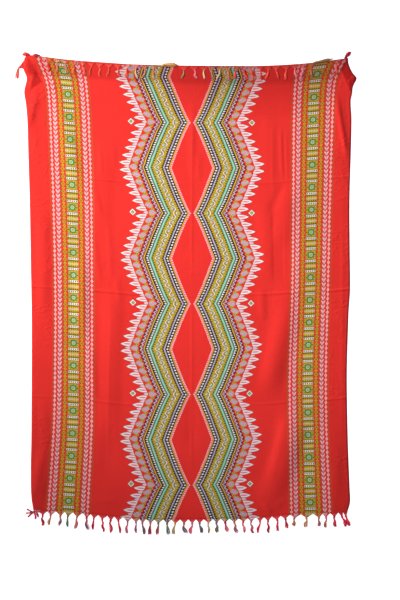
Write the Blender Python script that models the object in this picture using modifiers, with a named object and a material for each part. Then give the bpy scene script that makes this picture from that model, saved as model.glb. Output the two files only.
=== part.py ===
"""A fringed sarong: one printed rectangle of soft cloth, laid out flat with its face up.

+X runs across the cloth to the right, +Y along it towards its top end and +Z up. The cloth
rests on z = 0, and the origin is under the middle of the whole piece, fringes included.
Its side edges are selvedges. Its two ends have a fringe of tassels, each twisted from the
warp threads of one pitch: those at the bottom lie beyond the edge, and most of those at the
top have flopped back over the face. The two top corners are turned under. Tables are in
millimetres, measured from the middle of the print.
"""

import math
import random
from collections import namedtuple

import bmesh
import bpy
from mathutils import Vector

MM = 0.001
UP = Vector((0.0, 0.0, 1.0))

# Cloth
WALL = 1.5 * MM
SEAM_GAP = 0.3 * MM
COLUMN_PITCH = 24 * MM
ROW_PITCH = 41 * MM
CORNER_ROW_PITCH = 15 * MM
CORNER_DEPTH = 150 * MM
CUT_WIDTH = 1.11
CUT_LENGTH = 1.58

# Share of a fold's length over which each of its ends dies away
FOLD_EASE = 0.3

# Turned corners, which lie under the cloth and lift it
FLAP_WALL = 1.0 * MM
FLAP_INSET = 0.5 * MM
LIFT_INNER = 62 * MM
LIFT_OUTER = 110 * MM

# Fringe
STRIP_WIDTH = 3.0 * MM
OUTER_SIDE = 1
TOP_SIDE = 2
ROOT_SHARE_BOTTOM = 0.86
ROOT_SHARE_TOP = 0.5
TASSEL_LENGTH = 51 * MM
LENGTH_SPREAD = 4 * MM
PAIR_LEAN = 6.0
LEAN_SPREAD = 8.0
CURVE_SHARE = 0.7
END_LEAN = 1.6
ROUTE_STEP = 0.5 * MM
FLOOR_CLEARANCE = 0.5 * MM
FACE_CLEARANCE = 0.8 * MM
RISE_LENGTH = 10 * MM
SHOULDER_HEIGHT = 4.4 * MM
SHOULDER_WIDTH = 11 * MM
SHOULDER_DEPTH = 1.8 * MM
TOP_SEED = 100

# Share of the cloth's width over which an edge's direction is read
TANGENT_SHARE = 0.001

# Colours of the plain materials, linear
CLOTH_RED = (0.62, 0.03, 0.025)
UNDERSIDE_RED = (0.4, 0.02, 0.02)
LOWER_YARN = (0.36, 0.08, 0.05)
UPPER_YARN = (0.4, 0.12, 0.07)
CORNER_YARN = (0.6, 0.04, 0.03)

EdgePoint = namedtuple("EdgePoint", "x y")
Fold = namedtuple("Fold", "name x0 y0 x1 y1 reach height")
Section = namedtuple("Section", "at half_width half_height")
Course = namedtuple("Course", "slot leave settle turn length fullness")
Hang = namedtuple("Hang", "x leave settle length")
CornerTassel = namedtuple("CornerTassel", "place half_root course")
Thread = namedtuple("Thread", "x leave settle length")

LEFT_EDGE = (
    EdgePoint(-567, 817),
    EdgePoint(-579, 812),
    EdgePoint(-584, 803),
    EdgePoint(-585, 785),
    EdgePoint(-586, 766),
    EdgePoint(-575, 738),
    EdgePoint(-582, 703),
    EdgePoint(-584, 687),
    EdgePoint(-578, 647),
    EdgePoint(-573, 592),
    EdgePoint(-570, 480),
    EdgePoint(-565, 313),
    EdgePoint(-561, 90),
    EdgePoint(-558, -87),
    EdgePoint(-558, -278),
    EdgePoint(-559, -501),
    EdgePoint(-561, -633),
    EdgePoint(-559, -720),
    EdgePoint(-552, -767),
)
RIGHT_EDGE = (
    EdgePoint(543, 806),
    EdgePoint(545, 786),
    EdgePoint(560, 753),
    EdgePoint(573, 738),
    EdgePoint(560, 708),
    EdgePoint(557, 683),
    EdgePoint(552, 658),
    EdgePoint(555, 595),
    EdgePoint(553, 484),
    EdgePoint(548, 313),
    EdgePoint(549, 139),
    EdgePoint(550, 3),
    EdgePoint(545, -78),
    EdgePoint(539, -278),
    EdgePoint(540, -411),
    EdgePoint(543, -545),
    EdgePoint(549, -699),
    EdgePoint(550, -738),
    EdgePoint(541, -771),
)
TOP_EDGE = (
    EdgePoint(-567, 817),
    EdgePoint(-531, 813),
    EdgePoint(-438, 801),
    EdgePoint(-338, 793),
    EdgePoint(-212, 785),
    EdgePoint(-21, 780),
    EdgePoint(132, 779),
    EdgePoint(240, 779),
    EdgePoint(376, 786),
    EdgePoint(463, 795),
    EdgePoint(543, 806),
)
BOTTOM_EDGE = (
    EdgePoint(-552, -767),
    EdgePoint(-501, -768),
    EdgePoint(-348, -778),
    EdgePoint(-261, -788),
    EdgePoint(-136, -796),
    EdgePoint(28, -796),
    EdgePoint(251, -789),
    EdgePoint(338, -780),
    EdgePoint(473, -776),
    EdgePoint(541, -771),
)

# Each corner's turned part, from the fold along the outline round its free edges
LEFT_FLAP = (
    EdgePoint(-568, 803),
    EdgePoint(-581, 797),
    EdgePoint(-585, 762),
    EdgePoint(-573, 738),
    EdgePoint(-578, 708),
    EdgePoint(-560, 700),
    EdgePoint(-526, 727),
    EdgePoint(-545, 792),
)
RIGHT_FLAP = (
    EdgePoint(541, 797),
    EdgePoint(526, 786),
    EdgePoint(532, 750),
    EdgePoint(541, 719),
    EdgePoint(553, 695),
    EdgePoint(559, 712),
    EdgePoint(569, 738),
    EdgePoint(559, 750),
    EdgePoint(544, 782),
)

# The largest soft folds: straight ridges with eased ends
FOLDS = (
    Fold("right_ground_upper", 345, 380, 304, 120, 44, 6),
    Fold("right_ground_middle", 335, 60, 254, -400, 52, 9),
    Fold("right_ground_lower", 335, -400, 272, -690, 46, 7),
    Fold("right_ground_edge", 262, 640, 280, 330, 40, 4),
    Fold("left_ground_upper", -300, 560, -318, 150, 48, 5),
    Fold("left_ground_lower", -270, 80, -296, -600, 48, 4),
    Fold("left_border", -386, 160, -383, -190, 34, 5),
    Fold("top_left_fan", -563, 695, -556, 500, 32, 6),
    Fold("top_left_spread", -470, 690, -395, 330, 40, 4),
    Fold("top_right_fan", 494, 716, 534, 430, 34, 7),
    Fold("bottom_left_fan", -549, -742, -516, -540, 30, 5),
    Fold("bottom_right_fan", 508, -735, 484, -450, 38, 4),
)

# Rings of a tassel along its length: the web of gathered threads, its neck, cord and tuft
BOTTOM_TASSEL = (
    Section(5, 9.4, 0.8),
    Section(10, 5.6, 1.2),
    Section(14, 2.6, 2.0),
    Section(24, 2.7, 2.3),
    Section(33, 3.0, 2.4),
    Section(42, 4.4, 3.0),
    Section(47, 4.2, 2.8),
    Section(50, 2.4, 1.8),
)
TOP_TASSEL = (
    Section(5, 4.0, 1.2),
    Section(10, 2.5, 2.0),
    Section(14, 3.1, 2.5),
    Section(18, 2.3, 2.1),
    Section(32, 2.8, 2.3),
    Section(42, 4.2, 3.0),
    Section(50, 2.4, 1.8),
)
STRAY_TASSEL = (
    Section(5, 2.4, 1.2),
    Section(11, 2.6, 2.0),
    Section(16, 3.4, 2.6),
    Section(28, 2.6, 2.2),
    Section(40, 3.8, 2.8),
    Section(50, 2.4, 1.8),
)
LOOSE_THREAD = (
    Section(10, 1.3, 1.1),
    Section(30, 1.0, 1.0),
    Section(50, 0.8, 0.8),
)

# Top tassels that lie beyond the edge. A course leaves on one heading and settles on
# another, both in degrees from -Y towards +X
STRAYS = (
    Course(0, 218, 284, 15, 31, 1.5),
    Course(1, 222, 262, 10, 23, 1.0),
    Course(15, 122, 86, 14, 56, 1.3),
    Course(33, 128, 102, 14, 50, 1.2),
    Course(36, 180, 136, 10, 30, 1.6),
)
EMPTY_TOP_SLOTS = (16, 34)

# Where each top tassel leaves the cloth, in millimetres
TOP_ROOTS = (
    -559, -529, -500, -470, -440, -411, -381, -352, -322, -289, -258, -227, -196,
    -165, -134, -103, -65, -28, 8, 41, 69, 97, 125, 153, 181, 209, 237, 265, 293,
    328, 358, 387, 415, 443, 474, 504, 535,
)

# Where each lower tassel leaves the cloth, its headings in degrees from -Y towards +X,
# and its length
LOWER_TASSELS = (
    Hang(-518, -10, 4, 50),
    Hang(-491, -4, -14, 47),
    Hang(-457, -2, -6, 47),
    Hang(-429, -16, 4, 50),
    Hang(-398, -8, -8, 55),
    Hang(-364, -14, 10, 56),
    Hang(-339, -12, -4, 53),
    Hang(-312, 0, 8, 57),
    Hang(-280, -14, 6, 57),
    Hang(-259, 14, 8, 56),
    Hang(-223, -6, -6, 53),
    Hang(-195, 0, 0, 50),
    Hang(-173, 2, 14, 54),
    Hang(-144, -4, -6, 53),
    Hang(-118, 4, -8, 52),
    Hang(-85, -10, 14, 52),
    Hang(-58, -4, -16, 51),
    Hang(-26, -14, 12, 47),
    Hang(1, -4, -12, 50),
    Hang(25, 6, 12, 47),
    Hang(58, -8, 8, 49),
    Hang(87, -12, 12, 46),
    Hang(114, 4, 18, 46),
    Hang(145, 10, 10, 51),
    Hang(181, -18, 16, 50),
    Hang(206, -4, 12, 53),
    Hang(236, 2, -18, 54),
    Hang(264, 0, 2, 55),
    Hang(292, 20, -4, 52),
    Hang(321, 18, 8, 46),
    Hang(360, -22, -6, 41),
    Hang(397, 4, -4, 45),
    Hang(443, -10, 4, 43),
    Hang(464, 12, -12, 48),
    Hang(497, -14, 12, 48),
)

# The last two tassels of the lower fringe, which lie together at the right corner
CORNER_PAIR = (
    CornerTassel(0.9793, 0.0065, Course(35, 14, 24, 20, 51, 1.4)),
    CornerTassel(0.9918, 0.0035, Course(36, 11, 21, 20, 49, 1.4)),
)

# The untied warp threads at the bottom left corner
LOOSE_THREADS = (
    Thread(-550, -112, -98, 24),
    Thread(-547, -84, -68, 26),
    Thread(-544, -30, -10, 30),
    Thread(-541, -2, 12, 27),
    Thread(-538, 22, 38, 20),
)
THREAD_ROOT = 2.0 * MM
THREAD_TURN = 16

# The left corner's tassel, whose threads leave the side edge
SIDE_TASSEL_TOP = 801
SIDE_TASSEL_BOTTOM = 768
SIDE_TASSEL = Course(0, -60, -8, 36, 62, 1.0)
SIDE_GAP = 0.6 * MM
SIDE_WEB = 9.0


def smooth_at(rows, place):
    """Value at one place of the smooth curve through rows of (place, value)."""
    rows = sorted(rows)
    place = min(max(place, rows[0][0]), rows[-1][0])
    slopes = []
    for k in range(len(rows)):
        before = rows[max(k - 1, 0)]
        after = rows[min(k + 1, len(rows) - 1)]
        slopes.append((after[1] - before[1]) / (after[0] - before[0]))
    k = max(i for i in range(len(rows) - 1) if rows[i][0] <= place)
    span = rows[k + 1][0] - rows[k][0]
    t = (place - rows[k][0]) / span
    return (
        rows[k][1] * (1 + 2 * t) * (1 - t) ** 2
        + slopes[k] * span * t * (1 - t) ** 2
        + rows[k + 1][1] * t * t * (3 - 2 * t)
        + slopes[k + 1] * span * t * t * (t - 1)
    )


def ease(t):
    """Soft step from 0 to 1."""
    t = min(max(t, 0.0), 1.0)
    return t * t * (3 - 2 * t)


def mix(a, b, t):
    """The value a share t of the way from a to b."""
    return a + (b - a) * t


def end_point(edge, across):
    """Point on the top or bottom edge, a share across of the way from left to right."""
    x = mix(edge[0].x, edge[-1].x, across)
    return Vector((x, smooth_at(edge, x), 0.0)) * MM


def side_point(edge, along):
    """Point on the left or right edge, a share along of the way from top to bottom."""
    y = mix(edge[0].y, edge[-1].y, along)
    return Vector((smooth_at([(p.y, p.x) for p in edge], y), y, 0.0)) * MM


def cloth_point(across, along):
    """Point of the cloth, laid flat, from its four edges."""
    ends = end_point(TOP_EDGE, across).lerp(end_point(BOTTOM_EDGE, across), along)
    sides = side_point(LEFT_EDGE, along).lerp(side_point(RIGHT_EDGE, along), across)
    top = end_point(TOP_EDGE, 0).lerp(end_point(TOP_EDGE, 1), across)
    bottom = end_point(BOTTOM_EDGE, 0).lerp(end_point(BOTTOM_EDGE, 1), across)
    return ends + sides - top.lerp(bottom, along)


def fold_height(fold, place):
    """How far one fold lifts the cloth at a place."""
    start = Vector((fold.x0, fold.y0)) * MM
    run = Vector((fold.x1, fold.y1)) * MM - start
    share = (place - start).dot(run) / run.length_squared
    aside = abs((place - start).cross(run)) / run.length / (fold.reach * MM)
    if aside >= 1 or not 0 < share < 1:
        return 0.0
    return fold.height * MM * (1 - aside**2) ** 2 * ease(min(share, 1 - share) / FOLD_EASE)


def corner_lift(flap, place):
    """How far a turned corner lifts the cloth that lies on it."""
    middle = sum((Vector(point) for point in flap), Vector((0, 0))) * MM / len(flap)
    share = (LIFT_OUTER - (place - middle).length) / (LIFT_OUTER - LIFT_INNER)
    return (FLAP_WALL + SEAM_GAP) * ease(share)


def underside(x, y):
    """Height of the cloth's underside."""
    place = Vector((x, y))
    folds = sum(fold_height(fold, place) for fold in FOLDS)
    return folds + corner_lift(LEFT_FLAP, place) + corner_lift(RIGHT_FLAP, place)


def row_places():
    """Shares along the cloth of its rows, closer together beside the top corners."""
    corner_rows = round(CORNER_DEPTH / CORNER_ROW_PITCH)
    plain_rows = round((CUT_LENGTH - CORNER_DEPTH) / ROW_PITCH)
    near = [k * CORNER_DEPTH / corner_rows for k in range(corner_rows)]
    far = [mix(CORNER_DEPTH, CUT_LENGTH, k / plain_rows) for k in range(plain_rows + 1)]
    return [place / CUT_LENGTH for place in near + far]


def add_object(name, bm, material, parent):
    """Makes a named object from a bmesh, in the sarong's collection."""
    mesh = bpy.data.meshes.new(name)
    bm.to_mesh(mesh)
    bm.free()
    mesh.materials.append(material)
    made = bpy.data.objects.new(name, mesh)
    made.parent = parent
    bpy.data.collections["sarong"].objects.link(made)
    return made


def thicken(made, thickness):
    """Gives an open surface its wall, upwards."""
    wall = made.modifiers.new("wall", "SOLIDIFY")
    wall.thickness = thickness
    wall.offset = 1.0


def fabric(name, colour, roughness):
    """A plain cloth material."""
    material = bpy.data.materials.new(name)
    material.use_nodes = True
    shader = material.node_tree.nodes["Principled BSDF"]
    shader.inputs["Base Color"].default_value = (*colour, 1.0)
    shader.inputs["Roughness"].default_value = roughness
    shader.inputs["Metallic"].default_value = 0.0
    return material


def make_panel(material, parent):
    """The printed cloth: a grid shaped to the outline and folds, with a wall."""
    rows = row_places()
    columns = round(CUT_WIDTH / COLUMN_PITCH)
    last_row = len(rows) - 1
    bm = bmesh.new()
    bmesh.ops.create_grid(bm, x_segments=columns, y_segments=last_row, size=0.5)
    for vert in bm.verts:
        along = rows[round((0.5 - vert.co.y) * last_row)]
        vert.co = cloth_point(vert.co.x + 0.5, along)
        vert.co.z = underside(vert.co.x, vert.co.y)
    made = add_object("panel", bm, material, parent)
    thicken(made, WALL)


def make_flap(name, outline, material, parent):
    """A corner of the cloth turned under, flat on the floor."""
    bm = bmesh.new()
    places = [Vector((point.x, point.y, 0)) * MM for point in outline]
    middle = sum(places, Vector()) / len(places)
    inset = [place + (middle - place).normalized() * FLAP_INSET for place in places]
    face = bm.faces.new([bm.verts.new(place) for place in inset])
    face.normal_update()
    if face.normal.z < 0:
        face.normal_flip()
    made = add_object(name, bm, material, parent)
    thicken(made, FLAP_WALL)


def direction(heading):
    """Level unit vector of a heading, in degrees from -Y towards +X."""
    angle = math.radians(heading)
    return Vector((math.sin(angle), -math.cos(angle), 0.0))


def bridge(bm, near, far):
    """Joins two rings of four corners."""
    for k in range(4):
        bm.faces.new((near[k], near[(k + 1) % 4], far[(k + 1) % 4], far[k]))


def ring(bm, centre, across, up, half_width, half_height):
    """Adds four corners round a centre, from lower left round to upper left."""
    signs = ((-1, -1), (1, -1), (1, 1), (-1, 1))
    return [
        bm.verts.new(centre + across * half_width * side + up * half_height * level)
        for side, level in signs
    ]


def route(start, course, sections):
    """Places, headings and lengths run along a strand, one for each section."""
    place = start.copy()
    done = 0.0
    found = []
    for section in sections:
        while done < section.at / sections[-1].at * course.length * MM:
            heading = mix(course.leave, course.settle, ease(done / (course.turn * MM)))
            place += direction(heading) * ROUTE_STEP
            done += ROUTE_STEP
        found.append((place.copy(), heading, done))
    return found


def grow_beyond(bm, root, start, course, sections):
    """Grows a strand that lies past the edge, just above the floor."""
    last = root
    for (place, heading, done), section in zip(route(start, course, sections), sections):
        half_height = section.half_height * MM
        level = FLOOR_CLEARANCE + half_height
        height = mix(max(WALL / 2, half_height), level, ease(done / RISE_LENGTH))
        across = UP.cross(direction(heading))
        fuller = course.fullness if section.at > sections[0].at else 1.0
        centre = place + UP * height
        here = ring(bm, centre, across, UP, section.half_width * MM * fuller, half_height)
        bridge(bm, last, here)
        last = here
    bm.faces.new(last)


def grow_over_face(bm, root, start, outward, course):
    """Grows a strand from the strip's top back over the cloth's face."""
    across = UP.cross(direction(course.leave))
    lean_back = (outward + UP).normalized()
    shoulder = start + UP * SHOULDER_HEIGHT
    last = ring(bm, shoulder, across, lean_back, SHOULDER_WIDTH / 2, SHOULDER_DEPTH / 2)
    bridge(bm, root, last)
    stops = route(start, course, TOP_TASSEL)
    for (place, heading, _done), section in zip(stops, TOP_TASSEL):
        half_height = section.half_height * MM
        level = underside(place.x, place.y) + WALL + FACE_CLEARANCE + half_height
        across = UP.cross(direction(heading))
        here = ring(bm, place + UP * level, across, UP, section.half_width * MM, half_height)
        bridge(bm, last, here)
        last = here
    bm.faces.new(last)


def strip_frame(edge, across, side):
    """Edge point and the way out from it, at a share across the cloth."""
    before = end_point(edge, across - TANGENT_SHARE)
    after = end_point(edge, across + TANGENT_SHARE)
    return end_point(edge, across), UP.cross((after - before).normalized()) * side


def strip_ring(bm, edge, across, side):
    """Adds the strip's four corners: inner low, outer low, outer high, inner high."""
    point, outward = strip_frame(edge, across, side)
    inner = point + outward * SEAM_GAP
    outer = inner + outward * STRIP_WIDTH
    return [bm.verts.new(v) for v in (inner, outer, outer + UP * WALL, inner + UP * WALL)]


def close_cell(bm, near, far, root_side):
    """Closes the strip between two rings, apart from the side that a strand grows from."""
    for j in range(4):
        if j != root_side:
            bm.faces.new((near[j], near[(j + 1) % 4], far[(j + 1) % 4], far[j]))


def root_spans(places, root_share):
    """Where each root starts and ends, as it takes a share of the room to the nearer one."""
    gaps = [after - before for before, after in zip(places, places[1:])]
    rooms = [min(pair) for pair in zip(gaps[:1] + gaps, gaps + gaps[-1:])]
    return [
        (place - room * root_share / 2, place + room * root_share / 2)
        for place, room in zip(places, rooms)
    ]


def share_across(edge, x):
    """The share across the cloth of a place along its top or bottom edge."""
    return (x - edge[0].x) / (edge[-1].x - edge[0].x)


def lower_tassel(slot):
    """An ordinary lower tassel's course."""
    hang = LOWER_TASSELS[slot]
    turn = hang.length * CURVE_SHARE
    return Course(slot, hang.leave, hang.settle, turn, hang.length, 1.0)


def top_tassel(slot):
    """An ordinary top tassel's course: it leaves one way and curves back the other."""
    draw = random.Random(TOP_SEED + slot)
    lean = PAIR_LEAN * (-1) ** slot + draw.uniform(-LEAN_SPREAD, LEAN_SPREAD)
    length = (TASSEL_LENGTH + draw.uniform(-LENGTH_SPREAD, LENGTH_SPREAD)) / MM
    leave = -lean * draw.random()
    return Course(slot, leave, lean * END_LEAN, length * CURVE_SHARE, length, 1.0)


def make_bottom_fringe(material, parent):
    """The lower fringe: a strip past the cloth's edge, its tassels and loose threads."""
    bm = bmesh.new()
    edge = BOTTOM_EDGE
    width = (edge[-1].x - edge[0].x) * MM
    loose = []
    for thread in LOOSE_THREADS:
        middle = (thread.x - edge[0].x) * MM / width
        loose.append((middle - THREAD_ROOT / 2 / width, middle + THREAD_ROOT / 2 / width))
    plain = len(LOWER_TASSELS)
    places = [share_across(edge, hang.x) for hang in LOWER_TASSELS] + [CORNER_PAIR[0].place]
    slots = root_spans(places, ROOT_SHARE_BOTTOM)[:plain]
    slots += [(one.place - one.half_root, one.place + one.half_root) for one in CORNER_PAIR]
    cells = loose + slots
    last = strip_ring(bm, edge, 0.0, -1)
    bm.faces.new(last)
    for k, (begin, finish) in enumerate(cells):
        near = strip_ring(bm, edge, begin, -1)
        bridge(bm, last, near)
        far = strip_ring(bm, edge, finish, -1)
        close_cell(bm, near, far, OUTER_SIDE)
        root = [near[1], far[1], far[2], near[2]]
        point, outward = strip_frame(edge, (begin + finish) / 2, -1)
        start = point + outward * (SEAM_GAP + STRIP_WIDTH)
        if k < len(loose):
            thread = LOOSE_THREADS[k]
            course = Course(k, thread.leave, thread.settle, THREAD_TURN, thread.length, 1.0)
            grow_beyond(bm, root, start, course, LOOSE_THREAD)
        else:
            slot = k - len(loose)
            in_pair = slot >= plain
            course = CORNER_PAIR[slot - plain].course if in_pair else lower_tassel(slot)
            sections = STRAY_TASSEL if in_pair else BOTTOM_TASSEL
            grow_beyond(bm, root, start, course, sections)
        last = far
    tail = strip_ring(bm, edge, 1.0, -1)
    bridge(bm, last, tail)
    bm.faces.new(tail)
    bmesh.ops.recalc_face_normals(bm, faces=bm.faces)
    add_object("fringe_bottom", bm, material, parent)


def make_top_fringe(material, parent):
    """The upper fringe: a strip past the edge, with tassels over the face and beyond."""
    bm = bmesh.new()
    edge = TOP_EDGE
    strays = {stray.slot: stray for stray in STRAYS}
    slots = root_spans([share_across(edge, x) for x in TOP_ROOTS], ROOT_SHARE_TOP)
    last = strip_ring(bm, edge, 0.0, 1)
    bm.faces.new(last)
    for slot, (begin, finish) in enumerate(slots):
        if slot in EMPTY_TOP_SLOTS:
            continue
        near = strip_ring(bm, edge, begin, 1)
        bridge(bm, last, near)
        far = strip_ring(bm, edge, finish, 1)
        beyond = slot in strays
        close_cell(bm, near, far, OUTER_SIDE if beyond else TOP_SIDE)
        point, outward = strip_frame(edge, (begin + finish) / 2, 1)
        if beyond:
            root = [far[1], near[1], near[2], far[2]]
            start = point + outward * (SEAM_GAP + STRIP_WIDTH)
            grow_beyond(bm, root, start, strays[slot], STRAY_TASSEL)
        else:
            root = [near[3], far[3], far[2], near[2]]
            start = point + outward * (SEAM_GAP + STRIP_WIDTH / 2)
            grow_over_face(bm, root, start, outward, top_tassel(slot))
        last = far
    tail = strip_ring(bm, edge, 1.0, 1)
    bridge(bm, last, tail)
    bm.faces.new(tail)
    bmesh.ops.recalc_face_normals(bm, faces=bm.faces)
    add_object("fringe_top", bm, material, parent)


def make_side_tassel(material, parent):
    """The left corner's tassel, on a short strip of its own beside the side edge."""
    bm = bmesh.new()
    rows = [(p.y, p.x) for p in LEFT_EDGE]
    rings = []
    for y in (SIDE_TASSEL_TOP, SIDE_TASSEL_BOTTOM):
        inner = Vector((smooth_at(rows, y) * MM - SIDE_GAP, y * MM, 0.0))
        outer = inner - Vector((STRIP_WIDTH, 0.0, 0.0))
        corners = (inner, outer, outer + UP * WALL, inner + UP * WALL)
        rings.append([bm.verts.new(v) for v in corners])
    near, far = rings
    bm.faces.new(near)
    bm.faces.new(far)
    close_cell(bm, near, far, OUTER_SIDE)
    start = (near[1].co + far[1].co) / 2
    web = BOTTOM_TASSEL[0]._replace(half_width=SIDE_WEB)
    root = [near[1], far[1], far[2], near[2]]
    grow_beyond(bm, root, start, SIDE_TASSEL, (web, *BOTTOM_TASSEL[1:]))
    bmesh.ops.recalc_face_normals(bm, faces=bm.faces)
    add_object("tassel_left", bm, material, parent)


def centre_under(parent):
    """Moves the whole piece so that the origin is under its middle."""
    bpy.context.view_layer.update()
    graph = bpy.context.evaluated_depsgraph_get()
    corners = [
        Vector(corner)
        for made in parent.children
        for corner in made.evaluated_get(graph).bound_box
    ]
    middle_x = (min(c.x for c in corners) + max(c.x for c in corners)) / 2
    middle_y = (min(c.y for c in corners) + max(c.y for c in corners)) / 2
    parent.location = (-middle_x, -middle_y, 0.0)


def main():
    """Builds the sarong."""
    for made in list(bpy.data.objects):
        bpy.data.objects.remove(made, do_unlink=True)
    collection = bpy.data.collections.new("sarong")
    bpy.context.scene.collection.children.link(collection)
    parent = bpy.data.objects.new("sarong_frame", None)
    collection.objects.link(parent)

    make_panel(fabric("printed_cloth", CLOTH_RED, 0.72), parent)
    left_underside = fabric("turned_corner_left", UNDERSIDE_RED, 0.8)
    make_flap("corner_left", LEFT_FLAP, left_underside, parent)
    right_underside = fabric("turned_corner_right", UNDERSIDE_RED, 0.8)
    make_flap("corner_right", RIGHT_FLAP, right_underside, parent)
    make_bottom_fringe(fabric("lower_fringe", LOWER_YARN, 0.85), parent)
    make_top_fringe(fabric("upper_fringe", UPPER_YARN, 0.85), parent)
    make_side_tassel(fabric("corner_tassel", CORNER_YARN, 0.85), parent)
    centre_under(parent)


main()
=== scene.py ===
"""Dresses a printed sarong that is laid out flat: its cloth, fringe, finishes and light.

Tables are in millimetres, measured from the middle of the print, with +X across the cloth to
the right and +Y along it towards its top end. Placement turns them into the frame's metres.
"""

import logging
import math
import random
from dataclasses import dataclass, field
from enum import Enum
from typing import Callable, NamedTuple, Sequence

import bpy
import numpy as np
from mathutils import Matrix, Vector


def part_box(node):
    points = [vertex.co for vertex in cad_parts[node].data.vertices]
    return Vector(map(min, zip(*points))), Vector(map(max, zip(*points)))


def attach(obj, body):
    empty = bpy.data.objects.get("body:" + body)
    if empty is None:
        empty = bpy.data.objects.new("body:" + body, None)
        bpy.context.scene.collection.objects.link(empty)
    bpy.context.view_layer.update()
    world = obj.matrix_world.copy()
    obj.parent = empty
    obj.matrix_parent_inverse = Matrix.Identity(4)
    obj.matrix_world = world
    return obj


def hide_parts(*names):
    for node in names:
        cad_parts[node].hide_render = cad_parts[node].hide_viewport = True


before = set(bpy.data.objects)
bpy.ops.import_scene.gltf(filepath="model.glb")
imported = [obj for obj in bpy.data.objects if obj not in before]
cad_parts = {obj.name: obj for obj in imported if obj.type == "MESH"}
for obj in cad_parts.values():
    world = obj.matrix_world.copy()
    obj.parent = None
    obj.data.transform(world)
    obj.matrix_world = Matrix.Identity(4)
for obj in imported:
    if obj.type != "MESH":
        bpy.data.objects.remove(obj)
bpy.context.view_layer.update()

Array = np.ndarray
Pair = tuple[float, float]
Piece = bpy.types.Object
Material = bpy.types.Material
Tree = bpy.types.NodeTree
Socket = bpy.types.NodeSocket

LOG = logging.getLogger("sarong")
MM = 0.001

# The photograph's frame: its size in pixels, what one pixel spans, and the print's middle
PHOTO_WIDTH = 400
PHOTO_HEIGHT = 600
PIXEL = 3.48
PRINT_MIDDLE_X = 192.0
PRINT_MIDDLE_Y = 290.0

# Cloth, in metres
CUT_WIDTH = 1.11
CUT_LENGTH = 1.58

# Cloth, in millimetres
SHELL = 0.35
REST_HEIGHT = 0.15
LOFT = 0.9
LOFT_REACH = 30.0
FLAP_WALL = 1.0
FLAP_INSET = 0.5
SEAM_GAP = 0.3
LIFT_INNER = 62.0
LIFT_OUTER = 110.0

# Share of a fold's length over which each of its ends dies away, and steps of a fine ruler
FOLD_EASE = 0.3
FINE_STEPS = 4000

# Fringe: millimetres, degrees and factors, and its slots, counted from the left
STRIP_WIDTH = 3.0
TASSEL_LENGTH = 51.0
LENGTH_SPREAD = 4.0
PAIR_LEAN = 6.0
LEAN_SPREAD = 8.0
CURVE_SHARE = 0.7
END_LEAN = 1.6
ROUTE_STEP = 0.5
TOP_SEED = 100
EMPTY_TOP_SLOTS = (16, 34)
TOP_ROOTS = (
    -559, -529, -500, -470, -440, -411, -381, -352, -322, -289, -258, -227, -196,
    -165, -134, -103, -65, -28, 8, 41, 69, 97, 125, 153, 181, 209, 237, 265, 293,
    328, 358, 387, 415, 443, 474, 504, 535,
)


class EdgePoint(NamedTuple):
    """One point of an outline, in millimetres."""

    x: float
    y: float


Edge = Sequence[EdgePoint]


class Fold(NamedTuple):
    """A ridge of the cloth, or a trough where its height is below 0, in millimetres."""

    x0: float
    y0: float
    x1: float
    y1: float
    bow: float
    reach: float
    height: float

    def lift(self, x: Array, y: Array) -> Array:
        """How far the fold lifts the cloth.

        Args:
            x: Places across the cloth.
            y: Places along it.

        Returns:
            The lift at each place.
        """
        run_x = self.x1 - self.x0
        run_y = self.y1 - self.y0
        length = math.hypot(run_x, run_y)
        share = ((x - self.x0) * run_x + (y - self.y0) * run_y) / length**2
        aside = ((x - self.x0) * run_y - (y - self.y0) * run_x) / length
        aside = np.abs(aside - self.bow * 4 * share * (1 - share)) / self.reach
        within = (aside < 1) & (share > 0) & (share < 1)
        ends = ease(np.minimum(share, 1 - share) / FOLD_EASE)
        return np.where(within, self.height * (1 - aside**2) ** 2 * ends, 0.0)


class Press(NamedTuple):
    """A line across the cloth, pressed in while it was folded for storage, in millimetres."""

    along: float
    reach: float
    height: float
    wander: float
    phase: float


class Course(NamedTuple):
    """A strand's way: the heading that it leaves on and the one that it settles on."""

    slot: int
    leave: float
    settle: float
    turn: float
    length: float
    fullness: float


class Thread(NamedTuple):
    """A lock of untied warp threads at the bottom left corner."""

    x: float
    drop: float
    leave: float
    settle: float
    length: float
    count: int
    spread: float
    pale: bool


def outline(*places: Pair) -> tuple[EdgePoint, ...]:
    """An outline from its points, each across and along."""
    return tuple(EdgePoint(*place) for place in places)


def folds(*rows: tuple[float, ...]) -> tuple[Fold, ...]:
    """Folds from their rows, each two ends, a bow, a reach and a height."""
    return tuple(Fold(*row) for row in rows)


LEFT_EDGE = outline(
    (-567, 817), (-579, 812), (-584, 803), (-585, 785), (-586, 766), (-575, 738), (-582, 703),
    (-584, 687), (-578, 647), (-573, 592), (-570, 480), (-565, 313), (-561, 90), (-558, -87),
    (-558, -278), (-559, -501), (-561, -633), (-559, -720), (-552, -767),
)
RIGHT_EDGE = outline(
    (543, 806), (545, 786), (560, 753), (573, 738), (560, 708), (557, 683), (552, 658),
    (555, 595), (553, 484), (548, 313), (549, 139), (550, 3), (545, -78), (539, -278),
    (540, -411), (543, -545), (549, -699), (550, -738), (541, -771),
)
TOP_EDGE = outline(
    (-567, 817), (-531, 813), (-438, 801), (-338, 793), (-212, 785), (-21, 780), (132, 779),
    (240, 779), (376, 786), (463, 795), (543, 806),
)
BOTTOM_EDGE = outline(
    (-552, -767), (-501, -768), (-348, -778), (-261, -788), (-136, -796), (28, -796),
    (251, -789), (338, -780), (473, -776), (541, -771),
)

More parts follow.
